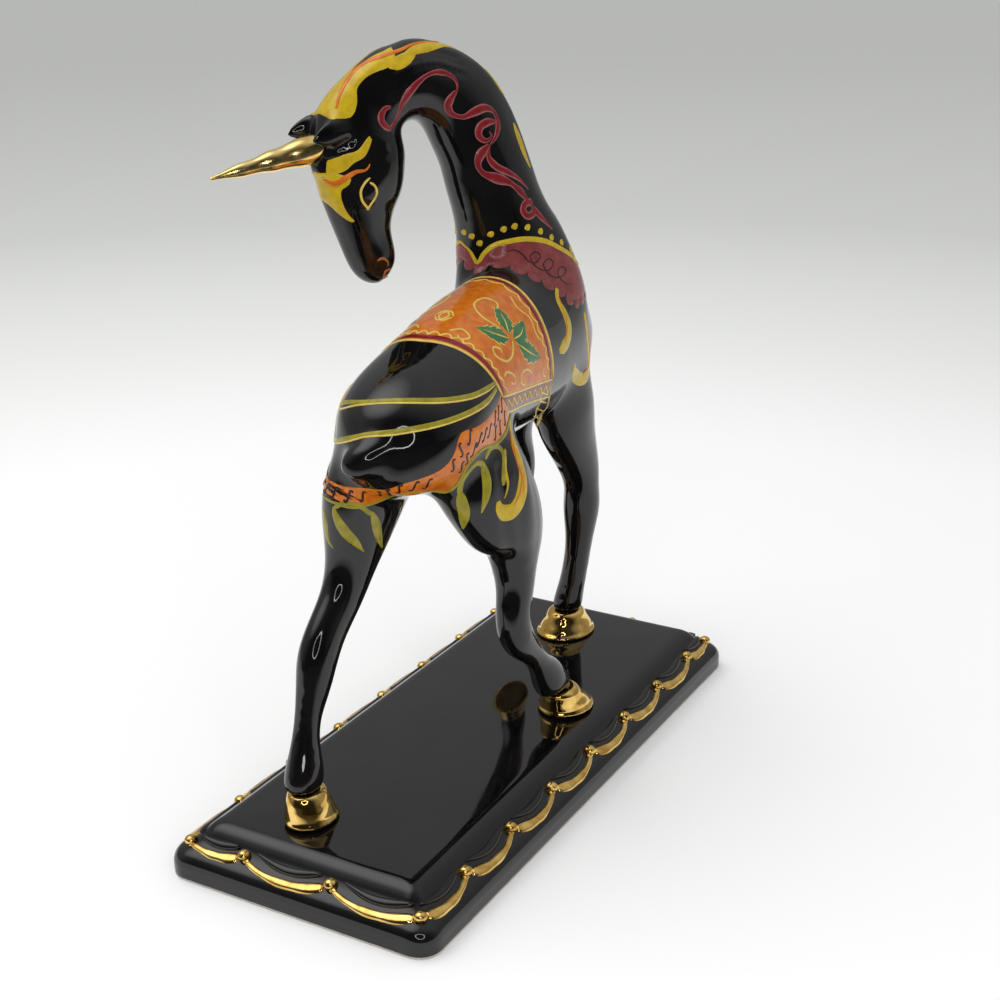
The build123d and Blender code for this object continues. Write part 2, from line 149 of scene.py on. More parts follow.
# %% Noise and ramp
def noise(material, scale, detail=3.0):
    """A noise texture on Object coordinates."""
    nodes, links = material.node_tree.nodes, material.node_tree.links
    place = nodes.new("ShaderNodeTexCoord")
    texture = nodes.new("ShaderNodeTexNoise")
    texture.inputs["Scale"].default_value = scale
    texture.inputs["Detail"].default_value = detail
    links.new(place.outputs["Object"], texture.inputs["Vector"])
    return texture.outputs["Fac"]


def ramp(material, value, stops):
    """A colour ramp fed by a value; stops are (place, colour) pairs."""
    node = material.node_tree.nodes.new("ShaderNodeValToRGB")
    elements = node.color_ramp.elements
    elements[0].position, elements[0].color = stops[0][0], (*stops[0][1], 1)
    elements[1].position, elements[1].color = stops[-1][0], (*stops[-1][1], 1)
    for place, colour in stops[1:-1]:
        element = elements.new(place)
        element.color = (*colour, 1)
    material.node_tree.links.new(value, node.inputs["Fac"])
    return node.outputs["Color"]

# %% [markdown]
# Noise seldom leaves the middle of its range, so that middle is spread out before it drives a roughness.
# Noise can also lift the surface a little: a bump shows a relief too fine to be worth any faces.

# %% Spread and bump
NOISE_LOW, NOISE_HIGH = 0.3, 0.7


def spread(material, value, low, high):
    """A value moved from the middle of a noise to the range low to high."""
    node = material.node_tree.nodes.new("ShaderNodeMapRange")
    node.inputs["From Min"].default_value = NOISE_LOW
    node.inputs["From Max"].default_value = NOISE_HIGH
    node.inputs["To Min"].default_value = low
    node.inputs["To Max"].default_value = high
    material.node_tree.links.new(value, node.inputs["Value"])
    return node.outputs["Result"]


def bump(material, shader, value, height):
    """Adds fine relief of the given height in millimetres."""
    node = material.node_tree.nodes.new("ShaderNodeBump")
    node.inputs["Strength"].default_value = 1.0
    node.inputs["Distance"].default_value = height * MM
    material.node_tree.links.new(value, node.inputs["Height"])
    material.node_tree.links.new(node.outputs["Normal"], shader.inputs["Normal"])

# %% [markdown]
# The animal and the plinth share one recipe, and differ in how high and how wide the waves of the glaze
# are. The tint under the gloss is nearly black, a little cooler in some places than in others.

# %% Black glaze
def make_glaze(name, wave, wave_scale):
    """Glossy black glaze with soft waves."""
    material, shader = new_material(name)
    tint = ramp(material, noise(material, 70.0),
                [(0.35, (0.0022, 0.0022, 0.0026)), (0.7, (0.006, 0.005, 0.005))])
    material.node_tree.links.new(tint, shader.inputs["Base Color"])
    cloud = spread(material, noise(material, 160.0), 0.03, 0.085)
    material.node_tree.links.new(cloud, shader.inputs["Roughness"])
    shader.inputs["IOR"].default_value = 1.52
    bump(material, shader, noise(material, wave_scale, 1.5), wave)
    return material


black_glaze = make_glaze("black_glaze", 0.05, 90.0)
plinth_glaze = make_glaze("plinth_glaze", 0.04, 55.0)
print("glazes: %s, %s" % (black_glaze.name, plinth_glaze.name))

# %% [markdown]
# Overglaze enamel is coloured glass powder in oil, painted on and fired at a low heat. It stands a hair
# proud of the glaze, is a little less glossy, and pools darker where the brush stopped.

# %% Enamel colours
def make_enamel(name, thin, thick):
    """Painted enamel that varies from a thin wash to a thick pool."""
    material, shader = new_material(name)
    wash = ramp(material, noise(material, 420.0, 4.0), [(0.3, thin), (0.65, thick)])
    material.node_tree.links.new(wash, shader.inputs["Base Color"])
    cloud = spread(material, noise(material, 900.0), 0.12, 0.22)
    material.node_tree.links.new(cloud, shader.inputs["Roughness"])
    shader.inputs["IOR"].default_value = 1.45
    bump(material, shader, noise(material, 1500.0, 2.0), 0.02)
    return material


orange_enamel = make_enamel("orange_enamel", (0.46, 0.10, 0.006), (0.60, 0.165, 0.010))
yellow_enamel = make_enamel("yellow_enamel", (0.40, 0.27, 0.006), (0.52, 0.36, 0.010))
olive_enamel = make_enamel("olive_enamel", (0.19, 0.165, 0.009), (0.29, 0.245, 0.015))
red_enamel = make_enamel("red_enamel", (0.13, 0.006, 0.010), (0.20, 0.012, 0.016))
green_enamel = make_enamel("green_enamel", (0.03, 0.12, 0.05), (0.05, 0.17, 0.06))
line_enamel = make_enamel("line_enamel", (0.54, 0.38, 0.06), (0.68, 0.51, 0.11))
rose_enamel = make_enamel("rose_enamel", (0.20, 0.05, 0.06), (0.30, 0.09, 0.09))
collar_enamel = make_enamel("collar_enamel", (0.15, 0.025, 0.028), (0.21, 0.045, 0.045))
rust_enamel = make_enamel("rust_enamel", (0.30, 0.10, 0.03), (0.42, 0.16, 0.05))
plum_enamel = make_enamel("plum_enamel", (0.14, 0.03, 0.03), (0.20, 0.05, 0.045))
dark_enamel = make_enamel("dark_enamel", (0.02, 0.006, 0.006), (0.035, 0.012, 0.01))
print("enamels: %d" % sum("enamel" in material.name for material in bpy.data.materials))

# %% [markdown]
# Bright gold on porcelain is a film of real gold, so it is a metal in the shader. The brush leaves it
# uneven, and it is duller where it is thin.

# %% Gold
def make_gold(name, low, high, fine, thin=(0.55, 0.30, 0.05), thick=(0.90, 0.62, 0.20)):
    """Fired gold lustre with brush streaks; low and high are its roughness."""
    material, shader = new_material(name)
    tint = ramp(material, noise(material, 260.0, 4.0), [(0.3, thin), (0.62, thick)])
    material.node_tree.links.new(tint, shader.inputs["Base Color"])
    shader.inputs["Metallic"].default_value = 1.0
    cloud = spread(material, noise(material, 500.0), low, high)
    material.node_tree.links.new(cloud, shader.inputs["Roughness"])
    bump(material, shader, noise(material, 700.0, 3.0), fine)
    return material


bright_gold = make_gold("bright_gold", 0.03, 0.09, 0.012)
brushed_gold = make_gold("brushed_gold", 0.10, 0.22, 0.05)
# The horn's gold is a lighter copy of the same gold: painted light, so that the horn reads brighter.
lit_horn_gold = make_gold("lit_horn_gold", 0.12, 0.24, 0.02, (0.84, 0.54, 0.14), (1.0, 0.78, 0.32))
print("golds: %d" % sum("gold" in material.name for material in bpy.data.materials))

# %% [markdown]
# ## One skin for the animal
# The potter sticks the cast trunk, legs, neck and head together with slip and sponges the seams away, and
# the glaze then runs over all of them. In Blender the same thing is a voxel remesh: the merged copies of
# the CAD solids become one closed surface of small even faces, which can then be smoothed at the joins.

# %% Skin
HORSE = ("trunk", "neck", "head", "left_ear", "right_ear", "forelock", "mane", "tail",
         "left_hind_leg", "right_hind_leg", "left_fore_leg", "right_fore_leg")
SKIN_VOXEL = 0.75


def remeshed(nodes, voxel):
    """One closed even surface round some CAD nodes, as a mesh in millimetres."""
    draft = bpy.data.meshes.new("draft")
    bm = cad_bmesh(nodes)
    bm.to_mesh(draft)
    bm.free()
    holder = bpy.data.objects.new("draft", draft)
    bpy.context.scene.collection.objects.link(holder)
    remesh = holder.modifiers.new("remesh", "REMESH")
    remesh.mode = "VOXEL"
    remesh.voxel_size = voxel
    mesh = bpy.data.meshes.new_from_object(holder.evaluated_get(bpy.context.evaluated_depsgraph_get()))
    bpy.data.objects.remove(holder)
    return mesh


def outward(mesh):
    """A bmesh of a closed mesh, with every face turned outwards."""
    bm = bmesh.new()
    bm.from_mesh(mesh)
    bmesh.ops.recalc_face_normals(bm, faces=bm.faces)
    return bm


skin_mesh = remeshed(HORSE, SKIN_VOXEL)
print("skin: %d points" % len(skin_mesh.vertices))

# %% [markdown]
# Smoothing moves each point part of the way to the middle of its neighbours, many times over. Everywhere
# at once it would melt the animal, so each point has a weight, which is 1 at a join and 0 away from it.

# %% Smoothing helpers
RELAX_STEP = 0.6


def read_points(mesh):
    """The mesh's points as an array."""
    points = np.empty(len(mesh.vertices) * 3)
    mesh.vertices.foreach_get("co", points)
    return points.reshape(-1, 3)


def write_points(mesh, points):
    """Puts an array of points back into the mesh."""
    mesh.vertices.foreach_set("co", points.ravel())
    mesh.update()


def relax(mesh, rounds, weights=1.0):
    """Moves each point part of the way to the middle of its neighbours."""
    points = read_points(mesh)
    pairs = np.empty(len(mesh.edges) * 2, dtype=np.int64)
    mesh.edges.foreach_get("vertices", pairs)
    first, second = pairs.reshape(-1, 2).T
    count = len(points)
    neighbours = np.bincount(first, minlength=count) + np.bincount(second, minlength=count)
    step = (RELAX_STEP * weights * np.ones(count))[:, None]
    for _ in range(rounds):
        total = np.stack([np.bincount(first, points[second, axis], count)
                          + np.bincount(second, points[first, axis], count) for axis in range(3)], 1)
        points += (total / neighbours[:, None] - points) * step
    write_points(mesh, points)


def nearness(points, tree, reach):
    """1 on the tree's surface, falling to 0 at the given reach."""
    found = np.array([tree.find_nearest(Vector(p), reach)[3] or reach for p in points])
    return np.clip(1 - found / reach, 0, 1)

# %% [markdown]
# Each join is named by the pieces on its two sides, how far the sponge reached, and how often it went over
# the seam. A point belongs to the join where it is near both sides. The ears get a few strokes more.

# %% Smoothing the joins
JOINS = (
    (("trunk",), ("left_hind_leg", "right_hind_leg", "left_fore_leg", "right_fore_leg"), 8.0, 90),
    (("trunk",), ("neck",), 12.0, 120),
    (("trunk",), ("tail",), 3.0, 25),
    (("neck",), ("head",), 6.0, 50),
    (("head", "neck"), ("forelock", "mane"), 2.0, 12),
    (("head",), ("left_ear", "right_ear"), 2.0, 10),
)
JOIN_GAIN = 1.6
ALL_OVER_ROUNDS = 10
EAR_REACH, EAR_ROUNDS = 2.0, 24

for one_side, other_side, reach, rounds in JOINS:
    points = read_points(skin_mesh)
    both = np.minimum(nearness(points, tree_of(one_side), reach),
                      nearness(points, tree_of(other_side), reach))
    relax(skin_mesh, rounds, np.clip(both * JOIN_GAIN, 0, 1))
relax(skin_mesh, ALL_OVER_ROUNDS)
ears = nearness(read_points(skin_mesh), tree_of(("left_ear", "right_ear")), EAR_REACH)
relax(skin_mesh, EAR_ROUNDS, ears)
print("joins smoothed: %d" % len(JOINS))

# %% [markdown]
# ## From the picture to the clay
# What the modeller cut and the painter painted is given as places in the photograph. Each such place is
# carried along the line of sight until it meets the skin. Where the line only just misses the skin, the
# skin's point nearest to the line is taken. A Catmull-Rom curve then joins the places: it passes through
# every one of them, so a few are enough.

# %% Where a point of the picture meets the skin
SIGHT_STEP = 2
SIGHT_STEPS = 60


def on_skin(px, py):
    """The point of the skin that the camera sees at a point of the 1000 by 1000 picture."""
    way = (view_right * (px - PICTURE / 2) - view_up * (py - PICTURE / 2)) / FOCAL_PIXELS - view_back
    way.normalize()
    place = skin_tree.ray_cast(view_eye, way)[0]
    if place is None:
        steps = [view_eye + way * (VIEW_DISTANCE + step * SIGHT_STEP)
                 for step in range(-SIGHT_STEPS, SIGHT_STEPS)]
        place = min((skin_tree.find_nearest(step) for step in steps), key=lambda found: found[3])[0]
    return place


def curve_through(points, step):
    """A Catmull-Rom curve through some points, cut into even steps."""
    points = [2 * points[0] - points[1]] + list(points) + [2 * points[-1] - points[-2]]
    dense = []
    for a, b, c, d in zip(points, points[1:], points[2:], points[3:]):
        pieces = max(2, int((c - b).length / (step / 3)))
        for k in range(pieces):
            t = k / pieces
            dense.append(0.5 * (2 * b + (c - a) * t + (2 * a - 5 * b + 4 * c - d) * t * t
                                + (3 * b - a - 3 * c + d) * t ** 3))
    dense.append(points[-2])
    path = [dense[0]]
    for place in dense:
        if (place - path[-1]).length >= step:
            path.append(place)
    return path


def on_surface(path):
    """The nearest points of the skin."""
    return [skin_tree.find_nearest(place)[0] for place in path]

# %% [markdown]
# The same trappings are painted on the side that the photograph hides, so paths are reflected there: body
# trappings in the body's own middle plane, and marks on the neck and the head in the plane of the bent neck.

# %% Reflected paths
BODY_MIDDLE = Vector((2.5, 1.3, 0))
BODY_TURN = math.radians(7)
body_way = Vector((math.cos(BODY_TURN), math.sin(BODY_TURN), 0))
body_right = Vector((math.sin(BODY_TURN), -math.cos(BODY_TURN), 0))
NECK_MIDDLE = Vector((12.0, 21.3, 0))
NECK_TURN = math.radians(150.6)
neck_near = Vector((-math.sin(NECK_TURN), math.cos(NECK_TURN), 0))
RUMP_GAP = 1.5
RUMP_STEP = 0.5


def reflected(points, middle, across):
    """The points on the other side of an upright plane, before they are laid on the skin."""
    return [place - across * (2 * (place - middle).dot(across)) for place in points]


def body_reflected(points):
    """The points on the far side of the body."""
    return reflected(points, BODY_MIDDLE, body_right)


def neck_reflected(points):
    """The points on the far side of the neck or the head."""
    return reflected(points, NECK_MIDDLE, neck_near)


def round_the_rump(pixels):
    """A path from the far flank round the rump to the near flank."""
    near = [on_skin(*pixel) for pixel in pixels]
    beyond = -(near[0] - BODY_MIDDLE).dot(body_right) + RUMP_GAP
    far = [place for place in near if (place - BODY_MIDDLE).dot(body_right) > beyond]
    return on_surface(curve_through(body_reflected(far)[::-1] + near, RUMP_STEP))

# %% [markdown]
# ## Sculpting
# A modelling tool pushes the clay up or presses a groove into it. Here each mark has a reach, a height and
# a path, and the skin's points near the path move along their own normals, most of all on the path itself.

# %% Tool marks
def skin_normals(mesh):
    """The outward directions at the mesh's points."""
    normals = np.empty(len(mesh.vertices) * 3)
    mesh.vertices.foreach_get("normal", normals)
    return normals.reshape(-1, 3)


def press(path, reach, amount):
    """Raises the skin along a path, or lowers it where the amount is negative."""
    points = read_points(skin_mesh)
    nearest = np.full(len(points), np.inf)
    for place in path:
        nearest = np.minimum(nearest, ((points - np.array(place)) ** 2).sum(1))
    fall = np.clip(1 - nearest / reach ** 2, 0, 1) ** 2
    write_points(skin_mesh, points + skin_normals(skin_mesh) * (amount * fall)[:, None])

# %% [markdown]
# A whole list of marks is worked at once, and again on the far side where a mirror is given. The search
# tree over the skin finds the places for them, and is made afresh when the shape is finished.

# %% Working the marks
TOOL_STEP = 0.6


def sculpt(marks, mirror=None):
    """Works tool marks into the skin; each has its reach, its height and a path in the picture."""
    for reach, amount, pixels in marks:
        near = [on_skin(*pixel) for pixel in pixels]
        for places in ([near, mirror(near)] if mirror else [near]):
            if len(places) > 1:
                places = on_surface(curve_through(places, TOOL_STEP))
            press(places, reach, amount)
    print("tool marks: %d" % len(marks))


def make_tree():
    """A fresh search tree over the skin."""
    bm = bmesh.new()
    bm.from_mesh(skin_mesh)
    tree = BVHTree.FromBMesh(bm)
    bm.free()
    return tree


skin_tree = make_tree()
print("skin ready for its marks: %d points" % len(skin_mesh.vertices))

# %% [markdown]
# The face is round over the eye and the cheek. The ears, laid forward beside the horn, are hollowed with
# one groove and keep a raised rim, and the mouth is a short cut.

# %% Head and ears
HEAD_MARKS = [
    (4.2, 0.45, [(369, 194)]),
    (7.0, 0.55, [(392, 176), (396, 190)]),
    (1.8, -0.55, [(384, 268)]),
    (2.2, -0.95, [(330, 149), (340, 147), (350, 142)]),
    (1.2, 0.45, [(324, 155), (336, 154), (350, 149), (358, 142)]),
    (3.2, 0.8, [(318, 168), (322, 173)]),
    (1.3, -0.35, [(398, 270), (393, 276), (386, 283)]),
]
sculpt(HEAD_MARKS, neck_reflected)

# %% [markdown]
# The mane lies close to the crest. A few combed grooves, with one raised strand between them, are enough
# to break up the reflections there.

# %% Mane strands
MANE_STRANDS = [
    (1.1, -0.45, [(398, 64), (415, 55), (436, 52), (458, 58)]),
    (1.1, -0.45, [(396, 72), (414, 62), (438, 58), (462, 66)]),
    (1.1, -0.45, [(396, 82), (412, 70), (436, 65), (464, 74)]),
    (1.2, 0.30, [(396, 77), (413, 66), (437, 62), (463, 70)]),
    (1.2, -0.35, [(402, 94), (412, 82), (430, 74), (452, 76)]),
]
sculpt(MANE_STRANDS, neck_reflected)

# %% [markdown]
# The near thigh, the near fore leg and the left hind leg show soft muscles. They differ from side to side
# in a walking animal, so they aren't reflected. When all is sculpted, the glaze smooths it once more.

# %% Muscles and the finished skin
MUSCLE_MARKS = [
    (2.6, -0.35, [(500, 470), (503, 500), (506, 530), (508, 560)]),
    (4.5, 0.35, [(525, 480), (530, 520), (525, 560)]),
    (1.6, -0.25, [(300, 690), (297, 720), (295, 750)]),
    (2.0, 0.35, [(560, 470), (566, 510), (568, 550)]),
]
GLAZE_ROUNDS = 2
sculpt(MUSCLE_MARKS)
relax(skin_mesh, GLAZE_ROUNDS)
skin_tree = make_tree()
add_piece(outward(skin_mesh), "glazed_skin", black_glaze, HORSE)

# %% [markdown]
# ## Plinth
# The plinth is slip-cast and then glazed, so none of its edges is sharp and its top is a little crowned.
# A grid wrapped round and closed on itself is the quickest way to such a body: one direction of the grid
# runs round the plinth, the other follows its section from the foot over the wall to the middle.

# %% Wrapped grids
MERGE_REACH = 0.002


def wrapped(bm, around, along, place):
    """A grid bent into a closed body; place gives the point at two shares from 0 to 1."""
    grid = bmesh.ops.create_grid(bm, x_segments=around, y_segments=along, size=1)
    for vert in grid["verts"]:
        vert.co = place((vert.co.x + 1) / 2, (vert.co.y + 1) / 2)
    bmesh.ops.remove_doubles(bm, verts=grid["verts"], dist=MERGE_REACH)


def eased(rows, share):
    """A Catmull-Rom value between the rows of a table, row by row in even shares."""
    last = len(rows) - 1
    index = min(int(share * last), last - 1)
    t = share * last - index
    a, b, c, d = (rows[max(0, min(last, index + k))] for k in (-1, 0, 1, 2))
    return [0.5 * (2 * q + (r - p) * t + (2 * p - 5 * q + 4 * r - v) * t * t
                   + (3 * q - p - 3 * r + v) * t ** 3)
            for p, q, r, v in zip(a, b, c, d)]

# %% [markdown]
# The section is a short table, from the underside out round the foot, up the wall and over the cove to the
# edge of the panel. Each row says how far in from the outline, how high, and how round the corners are.

# %% Plinth section
PLINTH_LENGTH, PLINTH_WIDTH = 180.0, 78.0
PANEL_HEIGHT, PANEL_FALL = 14.2, 0.7
PANEL_INSET = 11.6
SECTION = [
    (12.0, 9.6, 2.0), (8.6, 8.6, 2.5), (6.0, 6.0, 3.0), (4.8, 3.0, 3.2), (4.5, 0.8, 3.4), (4.3, 0.05, 3.6),
    (3.6, 0.0, 4.0), (1.2, 0.0, 5.2), (0.5, 0.12, 5.6), (0.1, 0.6, 5.8), (0.0, 1.6, 5.8), (0.0, 3.0, 5.8),
    (0.05, 4.2, 5.8), (0.4, 5.5, 5.7), (1.1, 6.6, 5.5), (2.2, 7.5, 5.2), (3.5, 8.15, 4.8), (4.8, 8.9, 4.3),
    (6.0, 9.9, 3.7), (7.1, 11.1, 3.1), (8.1, 12.1, 2.7), (9.2, 12.85, 2.4), (10.4, 13.3, 2.0),
    (PANEL_INSET, 13.5, 1.6),
]
print("section: %d rows" % len(SECTION))

# %% [markdown]
# The outline is an oblong with round corners. It is walked like a path, side by side and corner by corner,
# so equal shares of the way round are equal steps, and the faces stay even.

# %% Outline of the plinth
LEAST_CORNER = 0.01
ARRIVED = 1e-9


def outline_point(inset, corner, share):
    """A point on a rounded oblong at a share of the way round, starting in the middle of the right side."""
    length, width = PLINTH_LENGTH / 2 - inset, PLINTH_WIDTH / 2 - inset
    corner = max(LEAST_CORNER, min(corner, width))
    side, end = length - corner, width - corner
    arc = corner * math.pi / 2
    travel = share * (4 * (side + end) + 4 * arc)
    x, y, turn = 0.0, -width, 0.0
    for run, bends in ((side, False), (arc, True), (2 * end, False), (arc, True), (2 * side, False),
                       (arc, True), (2 * end, False), (arc, True), (side, False)):
        step = min(travel, run)
        if bends:
            angle = step / corner
            x += corner * (math.sin(turn + angle) - math.sin(turn))
            y -= corner * (math.cos(turn + angle) - math.cos(turn))
            turn += angle
        else:
            x += step * math.cos(turn)
            y += step * math.sin(turn)
        travel -= step
        if travel <= ARRIVED:
            break
    return x, y

# %% [markdown]
# The other direction of the grid has three stretches: the hidden underside, the section, and the crowned
# panel, which rises a little and closes up on its own middle line.

# %% Plinth body
HIDDEN_SHARE, SECTION_SHARE = 0.06, 0.80
FACES_AROUND, FACES_ALONG = 360, 150


def plinth_place(around, along):
    """The plinth's surface, from the underside, round the foot and up to the middle line of the panel."""
    half_width = PLINTH_WIDTH / 2
    if along < HIDDEN_SHARE:
        inset = half_width + (SECTION[0][0] - half_width) * along / HIDDEN_SHARE
        height, corner = SECTION[0][1], SECTION[0][2]
    elif along < SECTION_SHARE:
        inset, height, corner = eased(SECTION, (along - HIDDEN_SHARE) / (SECTION_SHARE - HIDDEN_SHARE))
    else:
        share = (along - SECTION_SHARE) / (1 - SECTION_SHARE)
        inset = PANEL_INSET + (half_width - PANEL_INSET) * share
        height = PANEL_HEIGHT - PANEL_FALL * (1 - share) ** 2
        corner = SECTION[-1][2] * (1 - share)
    x, y = outline_point(inset, corner, around)
    return Vector((x, y, height))


plinth_bm = bmesh.new()
wrapped(plinth_bm, FACES_AROUND, FACES_ALONG, plinth_place)
bmesh.ops.recalc_face_normals(plinth_bm, faces=plinth_bm.faces)
plinth_tree = BVHTree.FromBMesh(plinth_bm)
add_piece(plinth_bm, "plinth_body", plinth_glaze, ("plinth",))

# %% [markdown]
# The potter wipes the glaze off the foot, so that the plinth doesn't stick to the kiln shelf. A thin pale
# line of bare clay is left along the bottom edge.

# %% Bare foot
FOOT_ROWS = [(2.4, 0.10, 4.6), (1.3, 0.02, 5.1), (0.46, 0.02, 5.6), (0.12, 0.30, 5.75), (0.04, 0.62, 5.8),
             (0.22, 0.80, 5.7)]
FOOT_FACES_ALONG = 12


def foot_place(around, along):
    """The bare clay from just under the foot up to the glaze."""
    inset, height, corner = eased(FOOT_ROWS, along)
    return Vector((*outline_point(inset, corner, around), height))


foot_bm = bmesh.new()
wrapped(foot_bm, FACES_AROUND, FOOT_FACES_ALONG, foot_place)
bmesh.ops.recalc_face_normals(foot_bm, faces=foot_bm.faces)
bare_clay, clay_shader = new_material("bare_clay")
clay_tint = ramp(bare_clay, noise(bare_clay, 300.0), [(0.3, (0.36, 0.33, 0.28)), (0.7, (0.50, 0.47, 0.42))])
bare_clay.node_tree.links.new(clay_tint, clay_shader.inputs["Base Color"])
clay_shader.inputs["Roughness"].default_value = 0.75
add_piece(foot_bm, "bare_foot", bare_clay)

# %% [markdown]
# ## Ribbons
# One builder lays both the gilded swags of the plinth and every line of enamel, because each is a ribbon
# that lies on a surface. What tells them apart is how the width swells on the way: a line stays even, a
# brush stroke tapers or trembles, a leaf is wide in its middle, and a lock of hair ends in a blunt curl.

# %% Widths along a ribbon
SWELLS = {
    "even": lambda share: min(1, 0.3 + 8 * share, 0.3 + 8 * (1 - share)),
    "tapered": lambda share: min(1, 0.3 + 3 * share, 0.12 + 1.6 * (1 - share)),
    "leaf": lambda share: 0.06 + 0.94 * math.sin(math.pi * share ** 0.8),
    "lock": lambda share: min(0.3 + 1.2 * share, 1, 0.3 + 5 * (1 - share)),
    "brush": lambda share: min(0.75 + 0.25 * math.sin(5 * math.pi * share), 0.3 + 6 * share,
                               0.2 + 3 * (1 - share)),
    "drop": lambda share: math.sqrt(max(0.0, math.sin(math.pi * share))) * (0.6 + 0.4 * share),
    "serrated": lambda share: ((0.05 + 0.95 * math.sin(math.pi * share ** 0.8))
                               * (1 - 0.3 * (share * 5 % 1))),
    "swag": lambda share: (min(0.4 + 0.8 * share, 1.0) * min(1, 0.6 + 8 * (1 - share))
                           * (1 + 0.08 * math.sin(17 * share))),
}
print("ribbon kinds:", ", ".join(SWELLS))

# %% [markdown]
# A path set down on the nearest skin can leap from one limb to another where the two are close together.
# A brush can't do that, so only the longest stretch without a leap is kept.

# %% Unbroken paths
LEAP = 2.5


def unbroken(path):
    """The longest stretch of a path that doesn't leap from one limb to another."""
    stretches, stretch = [], [path[0]]
    for place in path[1:]:
        if (place - stretch[-1]).length > LEAP:
            stretches.append(stretch)
            stretch = []
        stretch.append(place)
    return max(stretches + [stretch], key=len)

# %% [markdown]
# A ribbon is a grid of faces. Its long direction follows the path, and its short direction lies square to
# the path and to the surface. Each point is set down on the surface and lifted a little, most in the
# middle. The edges sink under the surface instead, so the ribbon shows no open rim.

# %% Laying a ribbon
RIBBON_LIFT = 0.17
RIBBON_SINK = -0.12
RIBBON_CROWN = 0.35
FACES_ACROSS = 6
EDGE_SHARE = 0.99


def lay(bm, path, width, kind="even", lift=RIBBON_LIFT, tree=None):
    """Lays a ribbon on the skin, or on another surface, along a path."""
    tree = tree or skin_tree
    path = unbroken(path)
    count = len(path)
    if count < 3:
        return
    normals = [tree.find_nearest(place)[1] for place in path]
    grid = bmesh.ops.create_grid(bm, x_segments=count - 1, y_segments=FACES_ACROSS, size=1)
    for vert in grid["verts"]:
        index = round((vert.co.x + 1) / 2 * (count - 1))
        across = vert.co.y
        ahead = path[min(index + 1, count - 1)] - path[max(index - 1, 0)]
        aside = ahead.cross(normals[index]).normalized()
        half = width / 2 * SWELLS[kind](index / (count - 1))
        place, normal = tree.find_nearest(path[index] + aside * across * half)[:2]
        edge = index in (0, count - 1) or abs(across) > EDGE_SHARE
        height = RIBBON_SINK if edge else lift * (1 - RIBBON_CROWN * across * across)
        vert.co = place + normal * height


def face_outwards(bm, tree):
    """Turns every face away from the surface that it lies on."""
    for face in bm.faces:
        face.normal_update()
        if face.normal.dot(tree.find_nearest(face.calc_center_median())[1]) < 0:
            face.normal_flip()

# %% [markdown]
# ## Gilded garland
# Each swag is a pressed ribbon laid on the sloping border between two round bosses, brushed with gold. It
# is thin where it leaves its boss and thick where it meets the next one. Twenty-two of them go round: eight
# on each long side and three on each end, all from the same two lists of stops.

# %% Places of the swags
BORDER_INSET = 4.7
BORDER_HEIGHT = 9.0
BORDER_SLOPE = 0.35
SWAG_SPAN = 22.5
SIDE_FIRST = 20.6
END_FIRST, END_SECOND = 17.0, 42.8
SIDE_STOPS = [0] + [SIDE_FIRST + SWAG_SPAN * k for k in range(7)] + [PLINTH_LENGTH - 2 * BORDER_INSET]
END_STOPS = [0, END_FIRST, END_SECOND, PLINTH_WIDTH - 2 * BORDER_INSET]


def swags():
    """Each swag's side of the plinth, its number there and the travel of its two ends."""
    for side in ("right", "front", "left", "rear"):
        stops = SIDE_STOPS if side in ("right", "left") else END_STOPS
        marks = stops if side in ("right", "rear") else [stops[-1] - stop for stop in reversed(stops)]
        for number, (first, last) in enumerate(zip(marks, marks[1:]), 1):
            yield side, number, first, last


def border_point(side, travel, drop):
    """A point on the plinth's border; travel runs along a side and drop goes out over the wall."""
    half_length, half_width = PLINTH_LENGTH / 2 - BORDER_INSET, PLINTH_WIDTH / 2 - BORDER_INSET
    places = {"right": (travel - half_length, -half_width - drop),
              "left": (half_length - travel, half_width + drop),
              "front": (half_length + drop, travel - half_width),
              "rear": (-half_length - drop, half_width - travel)}
    place = Vector((*places[side], BORDER_HEIGHT - BORDER_SLOPE * drop))
    return plinth_tree.find_nearest(place)[0]


print("swags: %d" % len(list(swags())))

# %% [markdown]
# A swag hangs in a parabola, and a short one hangs less than a long one. It starts and ends just beside
# the bosses that hold it.

# %% Swag paths
SWAG_SAG, SAG_LIMIT = 2.6, 1.1
SWAG_DROP = 0.2
BOSS_RADIUS = 1.7
GAP_SHARE, GAPS_AT_ENDS = 0.6, 2.2
LEAST_STEPS = 16


def sag_of(span):
    """How far a swag of some span hangs down."""
    return SWAG_SAG * min(SAG_LIMIT, (span / SWAG_SPAN) ** 2)


def swag_path(side, start, end):
    """The path of one swag, from just beside its boss to just before the next one."""
    span = abs(end - start)
    gap = BOSS_RADIUS * GAP_SHARE / span
    steps = max(LEAST_STEPS, round(span * 2))
    path = []
    for k in range(steps + 1):
        share = gap + (1 - GAPS_AT_ENDS * gap) * k / steps
        drop = sag_of(span) * 4 * share * (1 - share) + SWAG_DROP
        path.append(border_point(side, start + (end - start) * share, drop))
    return path


print("a whole swag hangs %.1f mm" % sag_of(SWAG_SPAN))

# %% [markdown]
# A sprig is one swag with its boss, a slightly dented ball as a thumb would leave it. A short hook turns
# in from the swag to the boss.

# %% Sprigs
SWAG_WIDTH, SWAG_LIFT = 3.1, 0.6
BOSS_RISE, BOSS_DENT, BOSS_FLATNESS = 0.5, 0.07, 0.85
HOOK_REACHES = (0.0, 0.03, 0.06, 0.09, 0.12)
HOOK_DROP, HOOK_FALL, HOOK_STEP = 0.1, 9, 0.3
HOOK_WIDTH, HOOK_LIFT = 1.9, 0.7


